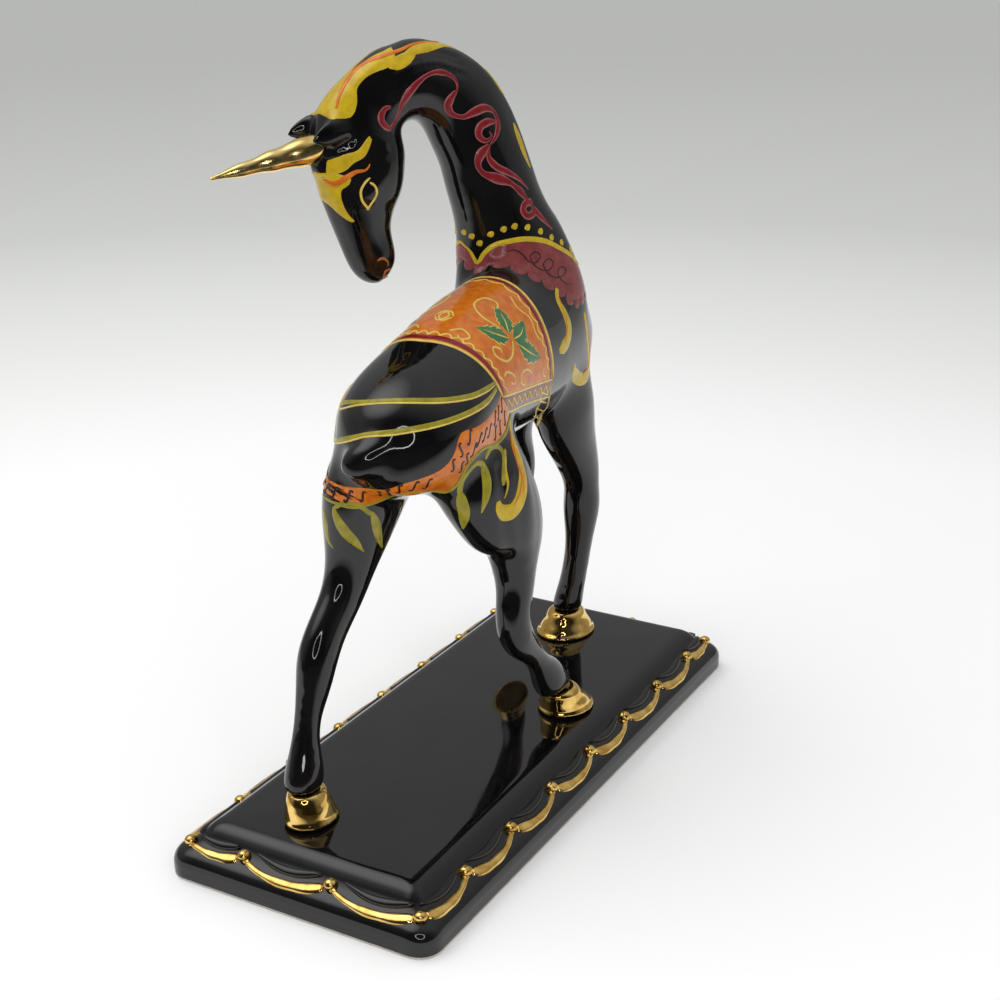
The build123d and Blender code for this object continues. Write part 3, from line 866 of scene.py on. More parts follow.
def add_boss(bm, side, travel):
    """A dented ball on the border."""
    centre = border_point(side, travel, -SWAG_DROP) + Vector((0, 0, BOSS_RISE))
    boss = bmesh.ops.create_icosphere(bm, subdivisions=3, radius=BOSS_RADIUS)
    for vert in boss["verts"]:
        dent = 1 + BOSS_DENT * math.sin(4 * vert.co.x + travel) * math.sin(3 * vert.co.z + travel)
        vert.co = centre + Vector((vert.co.x * dent, vert.co.y * dent, vert.co.z * BOSS_FLATNESS))


def make_sprig(side, first, last, name):
    """One gilded swag with the boss that it hangs from."""
    bm = bmesh.new()
    start, end = (last, first) if side in ("right", "front") else (first, last)
    lay(bm, swag_path(side, start, end), SWAG_WIDTH, "swag", SWAG_LIFT, plinth_tree)
    face_outwards(bm, plinth_tree)
    hook = [border_point(side, start + (end - start) * reach, HOOK_DROP + HOOK_FALL * reach)
            for reach in HOOK_REACHES]
    hook = [plinth_tree.find_nearest(place)[0] for place in curve_through(hook, HOOK_STEP)]
    lay(bm, hook, HOOK_WIDTH, "tapered", HOOK_LIFT, plinth_tree)
    add_boss(bm, side, first)
    add_piece(bm, "gilded_" + name, brushed_gold, (name,))


for side, number, first, last in swags():
    make_sprig(side, first, last, "garland_%s_%d" % (side, number))

# %% [markdown]
# Inside each swag the mould left a plain black drop in relief, glazed over with the plinth. It is the same
# ribbon again, thick and short, and it follows the sag of the swag under it.

# %% Relief drops
DROP_STEPS = 24
DROP_START, DROP_RUN = 0.11, 0.78
DROP_SAG_SHARE, DROP_RISE = 0.7, 2.3
DROP_WIDTH, DROP_LIFT = 3.1, 0.95
drop_bm = bmesh.new()
for side, number, first, last in swags():
    span = last - first
    path = []
    for k in range(DROP_STEPS + 1):
        share = k / DROP_STEPS
        sag = DROP_SAG_SHARE * sag_of(span) * math.sin(math.pi * share)
        path.append(border_point(side, first + span * (DROP_START + DROP_RUN * share), sag - DROP_RISE))
    lay(drop_bm, path, DROP_WIDTH, "drop", DROP_LIFT, plinth_tree)
face_outwards(drop_bm, plinth_tree)
add_piece(drop_bm, "relief_drops", plinth_glaze)

# %% [markdown]
# ## Hooves and horn
# The hooves are modelled bells: a rolled rim at the ground, a smooth wall, and a top that closes on the
# leg. Each starts from its CAD solid, remeshed finely, and is then drawn in and out round its own axis.
# The axis stands on the sole, which is the largest flat face that doesn't look upwards.

# %% Soles
SOLE_LOOKS_UP = 0.3


def sole_of(node):
    """The middle of a hoof's sole, and the direction in which the hoof stands on it."""
    bm = cad_bmesh([node])
    bmesh.ops.recalc_face_normals(bm, faces=bm.faces)
    flats = {}
    for face in bm.faces:
        flats.setdefault(tuple(round(part, 1) for part in face.normal), []).append(face)
    facing = max((key for key in flats if key[2] < SOLE_LOOKS_UP),
                 key=lambda key: sum(face.calc_area() for face in flats[key]))
    middle, area = Vector(), 0
    for face in flats[facing]:
        middle += face.calc_center_median() * face.calc_area()
        area += face.calc_area()
    bm.free()
    return middle / area, -Vector(facing).normalized()

# %% [markdown]
# The profile is a table again: a share of the hoof's height, and how much of its girth is left there. The
# left hind hoof is more of a cup, with a straighter wall, than the other three.

# %% Hooves
BELL_ROWS = [(-0.1, 0.98), (0.0, 1.0), (0.06, 1.03), (0.13, 1.0), (0.22, 0.94), (0.5, 0.97), (0.8, 0.99),
             (0.92, 0.95), (1.0, 0.87), (1.2, 0.82)]
CUP_ROWS = [(-0.1, 0.98), (0.0, 1.0), (0.05, 1.04), (0.11, 1.02), (0.2, 0.96), (0.5, 0.92), (0.75, 0.86),
            (0.9, 0.79), (1.0, 0.70), (1.2, 0.66)]
HOOF_VOXEL = 0.4
HOOF_ROUNDS, POLISH_ROUNDS = 10, 2


def make_hoof(node, rows):
    """A gilded hoof drawn to a profile of rows."""
    sole, axis = (np.array(part) for part in sole_of(node))
    mesh = remeshed([node], HOOF_VOXEL)
    relax(mesh, HOOF_ROUNDS)
    away = read_points(mesh) - sole
    rise = away @ axis
    radial = away - rise[:, None] * axis
    girth = np.interp(rise / rise.max(), [row[0] for row in rows], [row[1] for row in rows])
    write_points(mesh, sole + rise[:, None] * axis + radial * girth[:, None])
    relax(mesh, POLISH_ROUNDS)
    print("%s stands %.1f mm tall" % (node, rise.max()))
    add_piece(outward(mesh), "gilded_" + node, bright_gold, (node,))


make_hoof("left_hind_hoof", CUP_ROWS)
for node in ("right_hind_hoof", "left_fore_hoof", "right_fore_hoof"):
    make_hoof(node, BELL_ROWS)

# %% [markdown]
# The horn's wreathing is worn soft under its gold. Relaxing does that, but also shortens the horn, so it is
# stretched back afterwards along its own length, the direction in which its points spread most.

# %% Horn
HORN_VOXEL = 0.35
HORN_ROUNDS = 80
horn_mesh = remeshed(["horn"], HORN_VOXEL)
horn_points = read_points(horn_mesh)
horn_middle = horn_points.mean(0)
horn_way = np.linalg.svd(horn_points - horn_middle, full_matrices=False)[2][0]
horn_along = (horn_points - horn_middle) @ horn_way
relax(horn_mesh, HORN_ROUNDS)
relaxed_points = read_points(horn_mesh)
relaxed_along = (relaxed_points - horn_middle) @ horn_way
stretched = np.interp(relaxed_along, (relaxed_along.min(), relaxed_along.max()),
                      (horn_along.min(), horn_along.max()))
write_points(horn_mesh, relaxed_points + (stretched - relaxed_along)[:, None] * horn_way)
print("horn: %.1f mm long" % (horn_along.max() - horn_along.min()))
add_piece(outward(horn_mesh), "gilded_horn", lit_horn_gold, ("horn",))

# %% [markdown]
# ## Painting
# A painted line is a ribbon. Its middle follows a few points, each laid on the skin, so the ribbon lies
# on the real surface from any side. Its edges dip just under the glaze, which closes it like a drop of
# enamel. Some points are given in the photograph and carried along the line of sight until they
# meet the skin; the cloth's own pattern is drawn on the cloth instead.

# %% Strokes
STROKE_STEP = 0.5
OVER_LIFT = 0.27


def finish_paint(bm, name, material):
    """Turns a bmesh of painted shapes into a piece."""
    face_outwards(bm, skin_tree)
    add_piece(bm, name, material)


def paint(name, material, strokes, mirror=None, lift=RIBBON_LIFT):
    """One piece of enamel made of several ribbons; each stroke is (width, kind, pixels)."""
    bm = bmesh.new()
    for width, kind, pixels in strokes:
        near = [on_skin(*pixel) for pixel in pixels]
        for places in ([near, mirror(near)] if mirror else [near]):
            lay(bm, on_surface(curve_through(places, STROKE_STEP)), width, kind, lift)
    finish_paint(bm, name, material)

# %% [markdown]
# A wide field of colour is a sheet between two lines. Its points run straight across from one line to the
# other and are then set down on the skin, so the sheet follows every swelling under it.

# %% Fields of colour
SHEET_FACES_ACROSS = 8


def lay_between(bm, low_path, high_path, lift):
    """Fills the space between two paths with one sheet of enamel."""
    count = min(len(low_path), len(high_path))
    low = [low_path[round(k * (len(low_path) - 1) / (count - 1))] for k in range(count)]
    high = [high_path[round(k * (len(high_path) - 1) / (count - 1))] for k in range(count)]
    grid = bmesh.ops.create_grid(bm, x_segments=count - 1, y_segments=SHEET_FACES_ACROSS, size=1)
    for vert in grid["verts"]:
        index = round((vert.co.x + 1) / 2 * (count - 1))
        share = (vert.co.y + 1) / 2
        place, normal = skin_tree.find_nearest(low[index].lerp(high[index], share))[:2]
        edge = index in (0, count - 1) or not 1 - EDGE_SHARE < share < EDGE_SHARE
        vert.co = place + normal * (RIBBON_SINK if edge else lift)

# %% [markdown]
# ## The saddle cloth
# The cloth is an orange sheet over the barrel. Its pattern is drawn in the cloth's own measures: along
# runs from the rear hem to the front hem, and down from the spine, at 0, to the lower hem, at 1 or -1.

# %% Cloth measures
TRUNK_AXIS = 112.0
CAST_FROM = 26.0
FRONT_HEM, FRONT_SWEEP = 12.0, 6.5
REAR_HEM, REAR_SWEEP = -31.0, 9.0
FRONT_DROP, REAR_DROP = 106.0, 83.0
SWEEP_LIMIT, SWEEP_POWER = 1.3, 1.4
CLOTH_STEP = 0.5


def on_cloth(along, down):
    """The point of the skin at a place on the saddle cloth."""
    sweep = min(abs(down), SWEEP_LIMIT) ** SWEEP_POWER
    rear = REAR_HEM + REAR_SWEEP * sweep
    front = FRONT_HEM + FRONT_SWEEP * sweep
    place = BODY_MIDDLE + body_way * (rear + (front - rear) * along) + Vector((0, 0, TRUNK_AXIS))
    turn = math.radians(down * (REAR_DROP + (FRONT_DROP - REAR_DROP) * along))
    out = body_right * math.sin(turn) + Vector((0, 0, math.cos(turn)))
    return skin_tree.ray_cast(place + out * CAST_FROM, -out)[0]


def cloth_path(marks, step=CLOTH_STEP):
    """A curve through some places on the cloth."""
    return on_surface(curve_through([on_cloth(*mark) for mark in marks], step))


def cloth_line(along_at, down_at, steps=60):
    """A path on the cloth given by two functions of a share from 0 to 1."""
    return on_surface([on_cloth(along_at(k / steps), down_at(k / steps)) for k in range(steps + 1)])

# %% [markdown]
# The cloth, its lower band and its hems are sheets. Each is a grid over a rectangle of the cloth's own
# measures. The hems lie a little higher than the rest, as a second coat does.

# %% Cloth sheets
CLOTH_FACES_ALONG, CLOTH_FACES_DOWN = 56, 48
SHEET_RIM = 0.001
CLOTH_LIFT, HEM_LIFT = 0.10, 0.15
BAND_TOP, BAND_LOW = 0.99, 1.19
HEM_INSET, HEM_SHARE = 0.005, 0.085


def cloth_sheet(bm, alongs, downs, lift):
    """A sheet of enamel over a rectangle of the cloth's measures."""
    along_steps = max(3, round(abs(alongs[1] - alongs[0]) * CLOTH_FACES_ALONG))
    down_steps = max(3, round(abs(downs[1] - downs[0]) * CLOTH_FACES_DOWN))
    grid = bmesh.ops.create_grid(bm, x_segments=along_steps, y_segments=down_steps, size=1)
    for vert in grid["verts"]:
        across, fall = (vert.co.x + 1) / 2, (vert.co.y + 1) / 2
        edge = min(across, 1 - across, fall, 1 - fall) < SHEET_RIM
        base = on_cloth(alongs[0] + (alongs[1] - alongs[0]) * across, downs[0] + (downs[1] - downs[0]) * fall)
        place, normal = skin_tree.find_nearest(base)[:2]
        vert.co = place + normal * (RIBBON_SINK if edge else lift)


cloth_bm = bmesh.new()
cloth_sheet(cloth_bm, (0, 1), (-1, 1), CLOTH_LIFT)
finish_paint(cloth_bm, "saddle_cloth", orange_enamel)

band_bm = bmesh.new()
for down_side in (-1, 1):
    cloth_sheet(band_bm, (0.0, 1.0), (down_side * BAND_TOP, down_side * BAND_LOW), CLOTH_LIFT)
finish_paint(band_bm, "saddle_lower_band", plum_enamel)

hem_bm = bmesh.new()
cloth_sheet(hem_bm, (HEM_INSET, HEM_SHARE), (-1, 1), HEM_LIFT)
cloth_sheet(hem_bm, (1 - HEM_SHARE, 1 - HEM_INSET), (-1, 1), HEM_LIFT)
finish_paint(hem_bm, "saddle_hems", red_enamel)

# %% [markdown]
# Fine pale lines edge the hems and the band. The inner edge of each hem is a row of small arches, and a
# wavy line runs along the band.

# %% Cloth lines
SCALLOPS, SCALLOP_INSET, SCALLOP_DEPTH = 18, 0.012, 0.034
WAVES, WAVE_MIDDLE, WAVE_HEIGHT = 18, 1.09, 0.04
HEM_STEPS, ARCH_STEPS, BAND_STEPS, WAVE_STEPS = 140, 520, 90, 220
LINE_LIFT = 0.24
line_bm = bmesh.new()


def scalloped(hem, inward):
    """The inner edge of a hem: a row of small arches."""
    def along_at(share):
        arch = abs(math.sin(SCALLOPS * math.pi * share))
        return hem + inward * (HEM_SHARE - SCALLOP_INSET + SCALLOP_DEPTH * arch)
    return along_at


def wavy(share):
    """How far down the wavy line of the band runs."""
    return WAVE_MIDDLE + WAVE_HEIGHT * math.sin(WAVES * math.pi * share)


for hem, inward in ((0.0, 1), (1.0, -1)):
    outer = cloth_line(lambda share: hem, lambda share: 2 * share - 1, HEM_STEPS)
    inner = cloth_line(scalloped(hem, inward), lambda share: 2 * share - 1, ARCH_STEPS)
    lay(line_bm, outer, 0.9, "even", LINE_LIFT)
    lay(line_bm, inner, 0.7, "even", LINE_LIFT)
for down_side in (-1, 1):
    for down, width in ((1.0, 0.9), (BAND_LOW, 0.8)):
        edge = cloth_line(lambda share: share, lambda share: down_side * down, BAND_STEPS)
        lay(line_bm, edge, width, "even", LINE_LIFT)
    wave = cloth_line(lambda share: share, lambda share: down_side * wavy(share), WAVE_STEPS)
    lay(line_bm, wave, 0.55, "even", LINE_LIFT)
finish_paint(line_bm, "saddle_lines", line_enamel)

# %% [markdown]
# The middle of the cloth carries a plain spray of leaves with scrolls, in the usual colours of such
# painted ware: green leaves outlined in yellow on an orange ground.

# %% Leaf spray
LEAVES = [
    (9.0, [(0.50, 0.44), (0.56, 0.34), (0.60, 0.22)]),
    (9.5, [(0.52, 0.50), (0.64, 0.48), (0.76, 0.40)]),
    (8.5, [(0.54, 0.56), (0.66, 0.66), (0.80, 0.74)]),
    (7.5, [(0.46, 0.48), (0.36, 0.40), (0.28, 0.28)]),
]
LEAF_STEP, LEAF_MARGIN = 0.25, 1.2
MARGIN_LIFT, LEAF_LIFT, VEIN_LIFT = 0.16, 0.22, 0.34
VEIN_WIDTH, VEIN_SHORTER = 0.6, 8
leaf_bm, vein_bm = bmesh.new(), bmesh.new()
for side in (1, -1):
    for width, marks in LEAVES:
        spine = cloth_path([(along, side * down) for along, down in marks], LEAF_STEP)
        lay(vein_bm, spine, width + LEAF_MARGIN, "serrated", MARGIN_LIFT)
        lay(leaf_bm, spine, width, "serrated", LEAF_LIFT)
        lay(vein_bm, spine[:-VEIN_SHORTER], VEIN_WIDTH, "tapered", VEIN_LIFT)
finish_paint(leaf_bm, "saddle_leaves", green_enamel)

# %% [markdown]
# The scrolls between the leaves are even lines of the same pale enamel as the veins, so both go into one
# piece.

# %% Scrolls
SCROLLS = [
    (0.8, [(0.50, 0.50), (0.40, 0.62), (0.28, 0.66), (0.20, 0.58), (0.24, 0.50), (0.30, 0.54), (0.27, 0.59)]),
    (0.8, [(0.46, 0.40), (0.42, 0.24), (0.50, 0.12), (0.62, 0.12), (0.66, 0.20), (0.60, 0.24), (0.57, 0.19)]),
    (0.7, [(0.84, 0.20), (0.80, 0.30), (0.86, 0.40), (0.84, 0.52), (0.88, 0.60)]),
    (0.7, [(0.62, 0.86), (0.54, 0.80), (0.44, 0.82), (0.38, 0.90), (0.44, 0.95), (0.48, 0.90)]),
    (0.7, [(0.14, 0.14), (0.20, 0.22), (0.16, 0.32), (0.10, 0.28), (0.14, 0.22)]),
    (0.7, [(0.14, 0.80), (0.22, 0.76), (0.30, 0.82), (0.26, 0.90), (0.20, 0.86)]),
    (0.7, [(0.30, 0.08), (0.24, 0.02), (0.30, -0.04), (0.36, 0.02), (0.30, 0.08)]),
    (0.7, [(0.86, 0.84), (0.80, 0.88), (0.84, 0.94), (0.90, 0.90)]),
]
for side in (1, -1):
    for width, marks in SCROLLS:
        lay(vein_bm, cloth_path([(along, side * down) for along, down in marks]), width, "even", LEAF_LIFT)
finish_paint(vein_bm, "saddle_scrolls", line_enamel)

# %% [markdown]
# ## Straps
# Two thin olive lines run round the rump from flank to flank, each with a pale line along its lower edge:
# a painted highlight, where the raised line catches the light.

# %% Rump lines
LINE_ONE = [(340, 405), (360, 402), (400, 400), (440, 400), (470, 396), (488, 388), (497, 380)]
LINE_TWO = [(330, 436), (350, 438), (400, 431), (440, 423), (470, 412), (488, 400), (497, 386)]
HIGHLIGHT_BELOW = 3
HIGHLIGHT_LIFT = 0.26
olive_bm, highlight_bm = bmesh.new(), bmesh.new()
for pixels in (LINE_ONE, LINE_TWO):
    lay(olive_bm, round_the_rump(pixels), 1.5, "even")
    # the pale line under each olive line is a painted highlight
    lay(highlight_bm, round_the_rump([(px, py + HIGHLIGHT_BELOW) for px, py in pixels]), 0.5, "even", HIGHLIGHT_LIFT)
finish_paint(olive_bm, "rump_lines", olive_enamel)
finish_paint(highlight_bm, "rump_line_highlights", line_enamel)

# %% [markdown]
# The breeching is the strap that goes round the haunches, under the tail. It is a sheet between its upper
# and its lower line, and an olive cord covers the lower edge.

# %% Breeching
BREECH_TOP = [(322, 470), (330, 480), (345, 486), (370, 488), (395, 483), (415, 478), (438, 470), (450, 458),
              (456, 438), (461, 430), (474, 426), (486, 418), (496, 405), (500, 391)]
BREECH_LOW = [(323, 494), (335, 503), (360, 507), (385, 499), (400, 494), (420, 492), (440, 492), (456, 486),
              (469, 464), (482, 450), (496, 444), (506, 432), (511, 412)]
BREECH_LIFT, CORD_LIFT = 0.14, 0.24
breech_top, breech_low = round_the_rump(BREECH_TOP), round_the_rump(BREECH_LOW)
breech_bm, cord_bm = bmesh.new(), bmesh.new()
lay_between(breech_bm, breech_low, breech_top, BREECH_LIFT)
finish_paint(breech_bm, "breeching", orange_enamel)
lay(cord_bm, breech_low, 1.0, "even", CORD_LIFT)
finish_paint(cord_bm, "breeching_edge", olive_enamel)

# %% [markdown]
# Dark S marks run along the strap, in two rows where it is deep. A painter steps along by eye, and so does
# the loop: it sets a mark wherever the middle of the strap has moved on by one pitch, square to the strap
# and as tall as the room between its lines allows.

# %% Breeching marks
S_MARK = [(-1.7, -0.5), (-1.5, -1.1), (-0.8, -1.1), (-0.1, -0.2),
          (0.1, 0.2), (0.8, 1.1), (1.5, 1.1), (1.7, 0.5)]
S_HEIGHT, S_FILL, S_TALLEST = 2.2, 0.9, 1.25
S_NARROW, S_STEP = 0.74, 0.25
S_WIDTH, S_LIFT = 0.75, 0.28
MARK_PITCH = 3.0
MARK_REACH, MARK_WINDOW = 40, 8
LEAST_DEPTH, TWO_ROWS_DEPTH = 3.6, 8.5
marks_bm = bmesh.new()
last_top = len(breech_top) - 1
last_middle = breech_low[0].lerp(breech_top[0], 0.5)
for index, top in enumerate(breech_top):
    opposite = round(index / last_top * (len(breech_low) - 1))
    nearby = breech_low[max(opposite - MARK_REACH, 0):opposite + MARK_REACH]
    low = min(nearby, key=lambda place: (place - top).length)
    before, after = breech_top[max(index - MARK_WINDOW, 0)], breech_top[min(index + MARK_WINDOW, last_top)]
    ahead = (after - before).normalized()
    rise = (top - low) - ahead * (top - low).dot(ahead)
    if (low.lerp(top, 0.5) - last_middle).length < MARK_PITCH or rise.length < LEAST_DEPTH:
        continue
    last_middle = low.lerp(top, 0.5)
    rows = (0.5,) if rise.length < TWO_ROWS_DEPTH else (0.3, 0.72)
    tall = min(S_TALLEST, rise.length * S_FILL / len(rows) / S_HEIGHT)
    for row in rows:
        s_mark = [low.lerp(top, row) + ahead * x * S_NARROW + rise.normalized() * y * tall for x, y in S_MARK]
        lay(marks_bm, on_surface(curve_through(s_mark, S_STEP)), S_WIDTH, "even", S_LIFT)
finish_paint(marks_bm, "breeching_marks", dark_enamel)

# %% [markdown]
# Olive tassels hang from the strap on loops of cord. Those on the thigh are reflected to the far thigh,
# while those on the left hind leg are painted once, since the leg is seen only from behind.

# %% Tassels
LEFT_TASSELS = [
    (3.4, "leaf", [(333, 506), (337, 519), (345, 532), (356, 543), (365, 553)]),
    (3.2, "leaf", [(372, 511), (376, 524), (379, 536), (382, 549)]),
    (2.6, "leaf", [(324, 508), (325, 523), (327, 537), (334, 549)]),
    (1.5, "even", [(333, 508), (345, 503), (358, 505), (368, 512), (374, 516)]),
]
RIGHT_TASSELS = [
    (3.8, "leaf", [(460, 490), (462, 503), (464, 514), (463, 530)]),
    (3.4, "leaf", [(482, 460), (486, 476), (487, 491), (481, 514)]),
    (1.7, "even", [(459, 496), (462, 482), (470, 470), (478, 463), (486, 466)]),
    (1.7, "even", [(485, 460), (490, 449), (497, 446), (503, 453), (504, 470), (503, 488)]),
]
paint("rear_tassels", olive_enamel, LEFT_TASSELS)
paint("thigh_tassels", olive_enamel, RIGHT_TASSELS, body_reflected)

# %% [markdown]
# Beside them a yellow lock curls down the thigh, wide at its end. Two orange strands lie on top of it, a
# little higher than the yellow, as paint on paint does.

# %% Locks
LOCKS = [
    (5.2, "lock", [(510, 418), (512, 436), (519, 456), (523, 474), (522, 492), (517, 506), (508, 513),
                   (500, 509), (498, 500)]),
    (1.4, "tapered", [(505, 448), (505, 468), (508, 484), (504, 500)]),
]
paint("thigh_locks", yellow_enamel, LOCKS, body_reflected)
LOCK_STRANDS = [
    (0.6, "even", [(510, 430), (512, 446), (517, 462), (521, 478), (519, 494), (512, 507)]),
    (0.5, "even", [(513, 446), (516, 458), (520, 470), (523, 484), (522, 496)]),
]
paint("lock_strands", orange_enamel, LOCK_STRANDS, body_reflected, OVER_LIFT)

# %% [markdown]
# ## Collar
# The collar is a burgundy cloth with a yellow upper edge that dips to a point at the side, a scalloped
# lower edge and a row of yellow dots above.

# %% Collar
COLLAR_TOP = [(462, 243), (470, 251), (477, 263), (484, 254), (493, 246), (506, 242),
              (525, 239), (545, 241), (560, 248), (572, 256), (580, 263)]
COLLAR_LOW = [(464, 261), (470, 266), (477, 270), (484, 266), (494, 264), (508, 266),
              (525, 273), (545, 283), (562, 293), (577, 303)]
COLLAR_STEP = 0.5
COLLAR_LIFT, LOBE_LIFT, COLLAR_EDGE_LIFT = 0.14, 0.13, 0.26
LOBE_POINTS, LOBE_WIDTH = 9, 3.6


def round_the_neck(pixels):
    """A closed path round the neck: the near half seen in the picture and its reflection."""
    near = [on_skin(*pixel) for pixel in pixels]
    ring = near + neck_reflected(near)[::-1]
    return on_surface(curve_through(ring + ring[:2], COLLAR_STEP))


collar_top, collar_low = round_the_neck(COLLAR_TOP), round_the_neck(COLLAR_LOW)
collar_bm, edge_bm = bmesh.new(), bmesh.new()
lay_between(collar_bm, collar_low, collar_top, COLLAR_LIFT)
for index in range(0, len(collar_low) - LOBE_POINTS, LOBE_POINTS):
    lay(collar_bm, collar_low[index:index + LOBE_POINTS + 1], LOBE_WIDTH, "leaf", LOBE_LIFT)
finish_paint(collar_bm, "collar", collar_enamel)
lay(edge_bm, collar_top, 1.6, "even", COLLAR_EDGE_LIFT)
finish_paint(edge_bm, "collar_edge", yellow_enamel)

# %% [markdown]
# Each dot above the collar is a very short leaf-shaped stroke, which is what a touch of a pointed brush
# leaves. A dark looped line like a chain runs over the cloth.

# %% Dots and chain
DOTS = [(464, 233), (472, 237), (480, 244), (491, 235), (504, 230), (515, 227), (528, 228),
        (541, 232), (552, 238), (562, 243), (571, 250)]
paint("collar_dots", yellow_enamel,
      [(2.4, "leaf", [(px - 2, py - 4), (px, py), (px + 2, py + 4)]) for px, py in DOTS], neck_reflected)
CHAIN = [
    (0.55, "even", [(505, 252), (514, 250), (522, 254), (528, 261), (535, 263), (540, 257), (536, 252),
                    (530, 256), (533, 264), (541, 270), (549, 270), (553, 263), (548, 259), (543, 265),
                    (548, 274), (556, 278), (564, 275), (565, 268), (559, 268), (558, 276), (566, 284),
                    (574, 284)]),
]
paint("collar_chain", dark_enamel, CHAIN, neck_reflected, OVER_LIFT)

# %% [markdown]
# Two yellow locks fall over the shoulder, with a thin orange strand in each. Their widest place is just
# before the end, where a loaded brush is pressed down and turned.

# %% Chest locks
CHEST_LOCKS = [
    (4.8, "lock", [(557, 287), (558, 300), (565, 314), (569, 328), (567, 342), (559, 352)]),
    (4.6, "lock", [(584, 312), (587, 335), (589, 358), (587, 374), (580, 379), (574, 372), (575, 362)]),
]
paint("chest_locks", yellow_enamel, CHEST_LOCKS, body_reflected)
CHEST_STRANDS = [
    (0.5, "even", [(558, 296), (563, 312), (567, 328), (564, 344)]),
    (0.5, "even", [(587, 330), (589, 350), (588, 366), (581, 375)]),
]
paint("chest_strands", orange_enamel, CHEST_STRANDS, body_reflected, OVER_LIFT)

# %% [markdown]
# The girth is the strap that holds the cloth. It goes under the belly as two lines with short rungs
# between them, and the rungs are made by one loop that steps down the strap.

# %% Girth
GIRTH_LINES = [
    (0.8, "even", [(551, 386), (549, 398), (545, 410), (539, 422), (530, 434)]),
    (0.8, "even", [(541, 390), (540, 402), (536, 414), (529, 426)]),
]
GIRTH_RUNGS = [
    (0.6, "even", [(541 - 2.4 * k, 392 + 8 * k), (545 - 2.4 * k, 394 + 8 * k), (549 - 2.6 * k, 395 + 8 * k)])
    for k in range(5)
]
paint("girth", line_enamel, GIRTH_LINES + GIRTH_RUNGS, body_reflected)

# %% [markdown]
# ## Neck and face
# A burgundy ribbon scrolls down the neck in strokes that join one another. A paler and slightly wider
# ribbon is laid first, with the burgundy one over it, which gives the scroll its fine edge.

# %% Neck scrolls
NECK_SCROLLS = [
    (2.0, "brush", [(392, 107), (385, 109), (381, 118), (385, 126), (391, 128), (398, 116), (404, 101),
                    (414, 87), (426, 76), (438, 72), (450, 75), (457, 83), (457, 92)]),
    (2.4, "brush", [(457, 90), (451, 98), (448, 106), (452, 114), (463, 117), (474, 112), (485, 108),
                    (494, 112), (498, 123), (496, 136), (489, 146)]),
    (2.8, "brush", [(490, 144), (481, 154), (478, 164), (483, 173), (496, 178), (510, 183), (521, 192),
                    (531, 205)]),
    (1.6, "tapered", [(530, 203), (540, 216), (553, 230)]),
    (2.2, "tapered", [(496, 122), (488, 122), (480, 127), (479, 136), (486, 141), (492, 136), (488, 130)]),
    (1.7, "tapered", [(489, 148), (489, 158), (497, 167), (509, 173), (520, 180), (529, 190)]),
    (1.9, "even", [(533, 202), (526, 203), (523, 210), (528, 216), (534, 212), (532, 205)]),
]
SCROLL_EDGE = 0.55
paint("neck_scroll_edges", rose_enamel,
      [(width + SCROLL_EDGE, kind, pixels) for width, kind, pixels in NECK_SCROLLS], neck_reflected)
paint("neck_scrolls", red_enamel, NECK_SCROLLS, neck_reflected, OVER_LIFT)

# %% [markdown]
# The forelock and the face have yellow flames. Each is a field between two lines that start together and
# end in a point, so its outline can be followed closely in the photograph.

# %% Flame fields
FLAME_STEP, FLAME_LIFT = 0.5, 0.15
FORELOCK_LEFT = [(318, 114), (323, 101), (333, 89), (343, 78), (355, 68), (368, 58), (381, 51), (392, 46)]
FORELOCK_RIGHT = [(333, 121), (352, 119), (358, 106), (358, 90), (366, 79), (377, 73), (388, 69), (398, 62)]
FACE_TOP = [(326, 160), (343, 154), (357, 150), (366, 139), (371, 134)]
FACE_LOW = [(325, 179), (345, 172), (354, 164), (366, 156), (373, 138)]
NOSE_LEFT = [(313, 170), (315, 184), (320, 196), (328, 205), (338, 214), (348, 221), (355, 223)]
NOSE_RIGHT = [(336, 173), (352, 177), (351, 184), (343, 190), (343, 201), (348, 213), (356, 222)]


def patch(name, rails):
    """A sheet of yellow between two rails picked in the picture, and its reflection."""
    bm = bmesh.new()
    for mirror in (None, neck_reflected):
        paths = []
        for pixels in rails:
            rail = [on_skin(*pixel) for pixel in pixels]
            paths.append(on_surface(curve_through(mirror(rail) if mirror else rail, FLAME_STEP)))
        lay_between(bm, paths[0], paths[1], FLAME_LIFT)
    finish_paint(bm, name, yellow_enamel)


patch("forelock_flame", (FORELOCK_RIGHT, FORELOCK_LEFT))
patch("brow_flame", (FACE_LOW, FACE_TOP))
patch("nose_flame", (NOSE_RIGHT, NOSE_LEFT))

# %% [markdown]
# Smaller flames along the crest are single leaf-shaped strokes. An orange streak runs through the mane and
# over each brow; the one in the mane lies on the crest itself, so it isn't reflected.

# %% Flame strokes
FLAMES = [
    (4.4, "leaf", [(388, 68), (400, 62), (410, 55), (417, 47)]),
    (3.8, "leaf", [(402, 56), (414, 50), (428, 46), (444, 45), (459, 48)]),
    (3.2, "leaf", [(487, 66), (493, 75), (499, 86), (505, 97)]),
    (3.2, "leaf", [(513, 122), (519, 138), (525, 155), (531, 170)]),
]
paint("flames", yellow_enamel, FLAMES, neck_reflected)
MANE_STREAK = [(1.9, "tapered", [(336, 110), (342, 90), (352, 74), (365, 63), (384, 56), (400, 50), (411, 45),
                                 (428, 42), (440, 41)])]
BROW_STREAK = [(1.9, "tapered", [(322, 179), (334, 184), (346, 178), (356, 172), (366, 170), (371, 162)])]
paint("mane_streak", orange_enamel, MANE_STREAK, lift=OVER_LIFT)
paint("brow_streaks", orange_enamel, BROW_STREAK, neck_reflected, OVER_LIFT)

# %% [markdown]
# The eye has no pupil: two thin gold lines meet in a point below it. A rust line rounds the nostril and
# another the corner of the mouth.

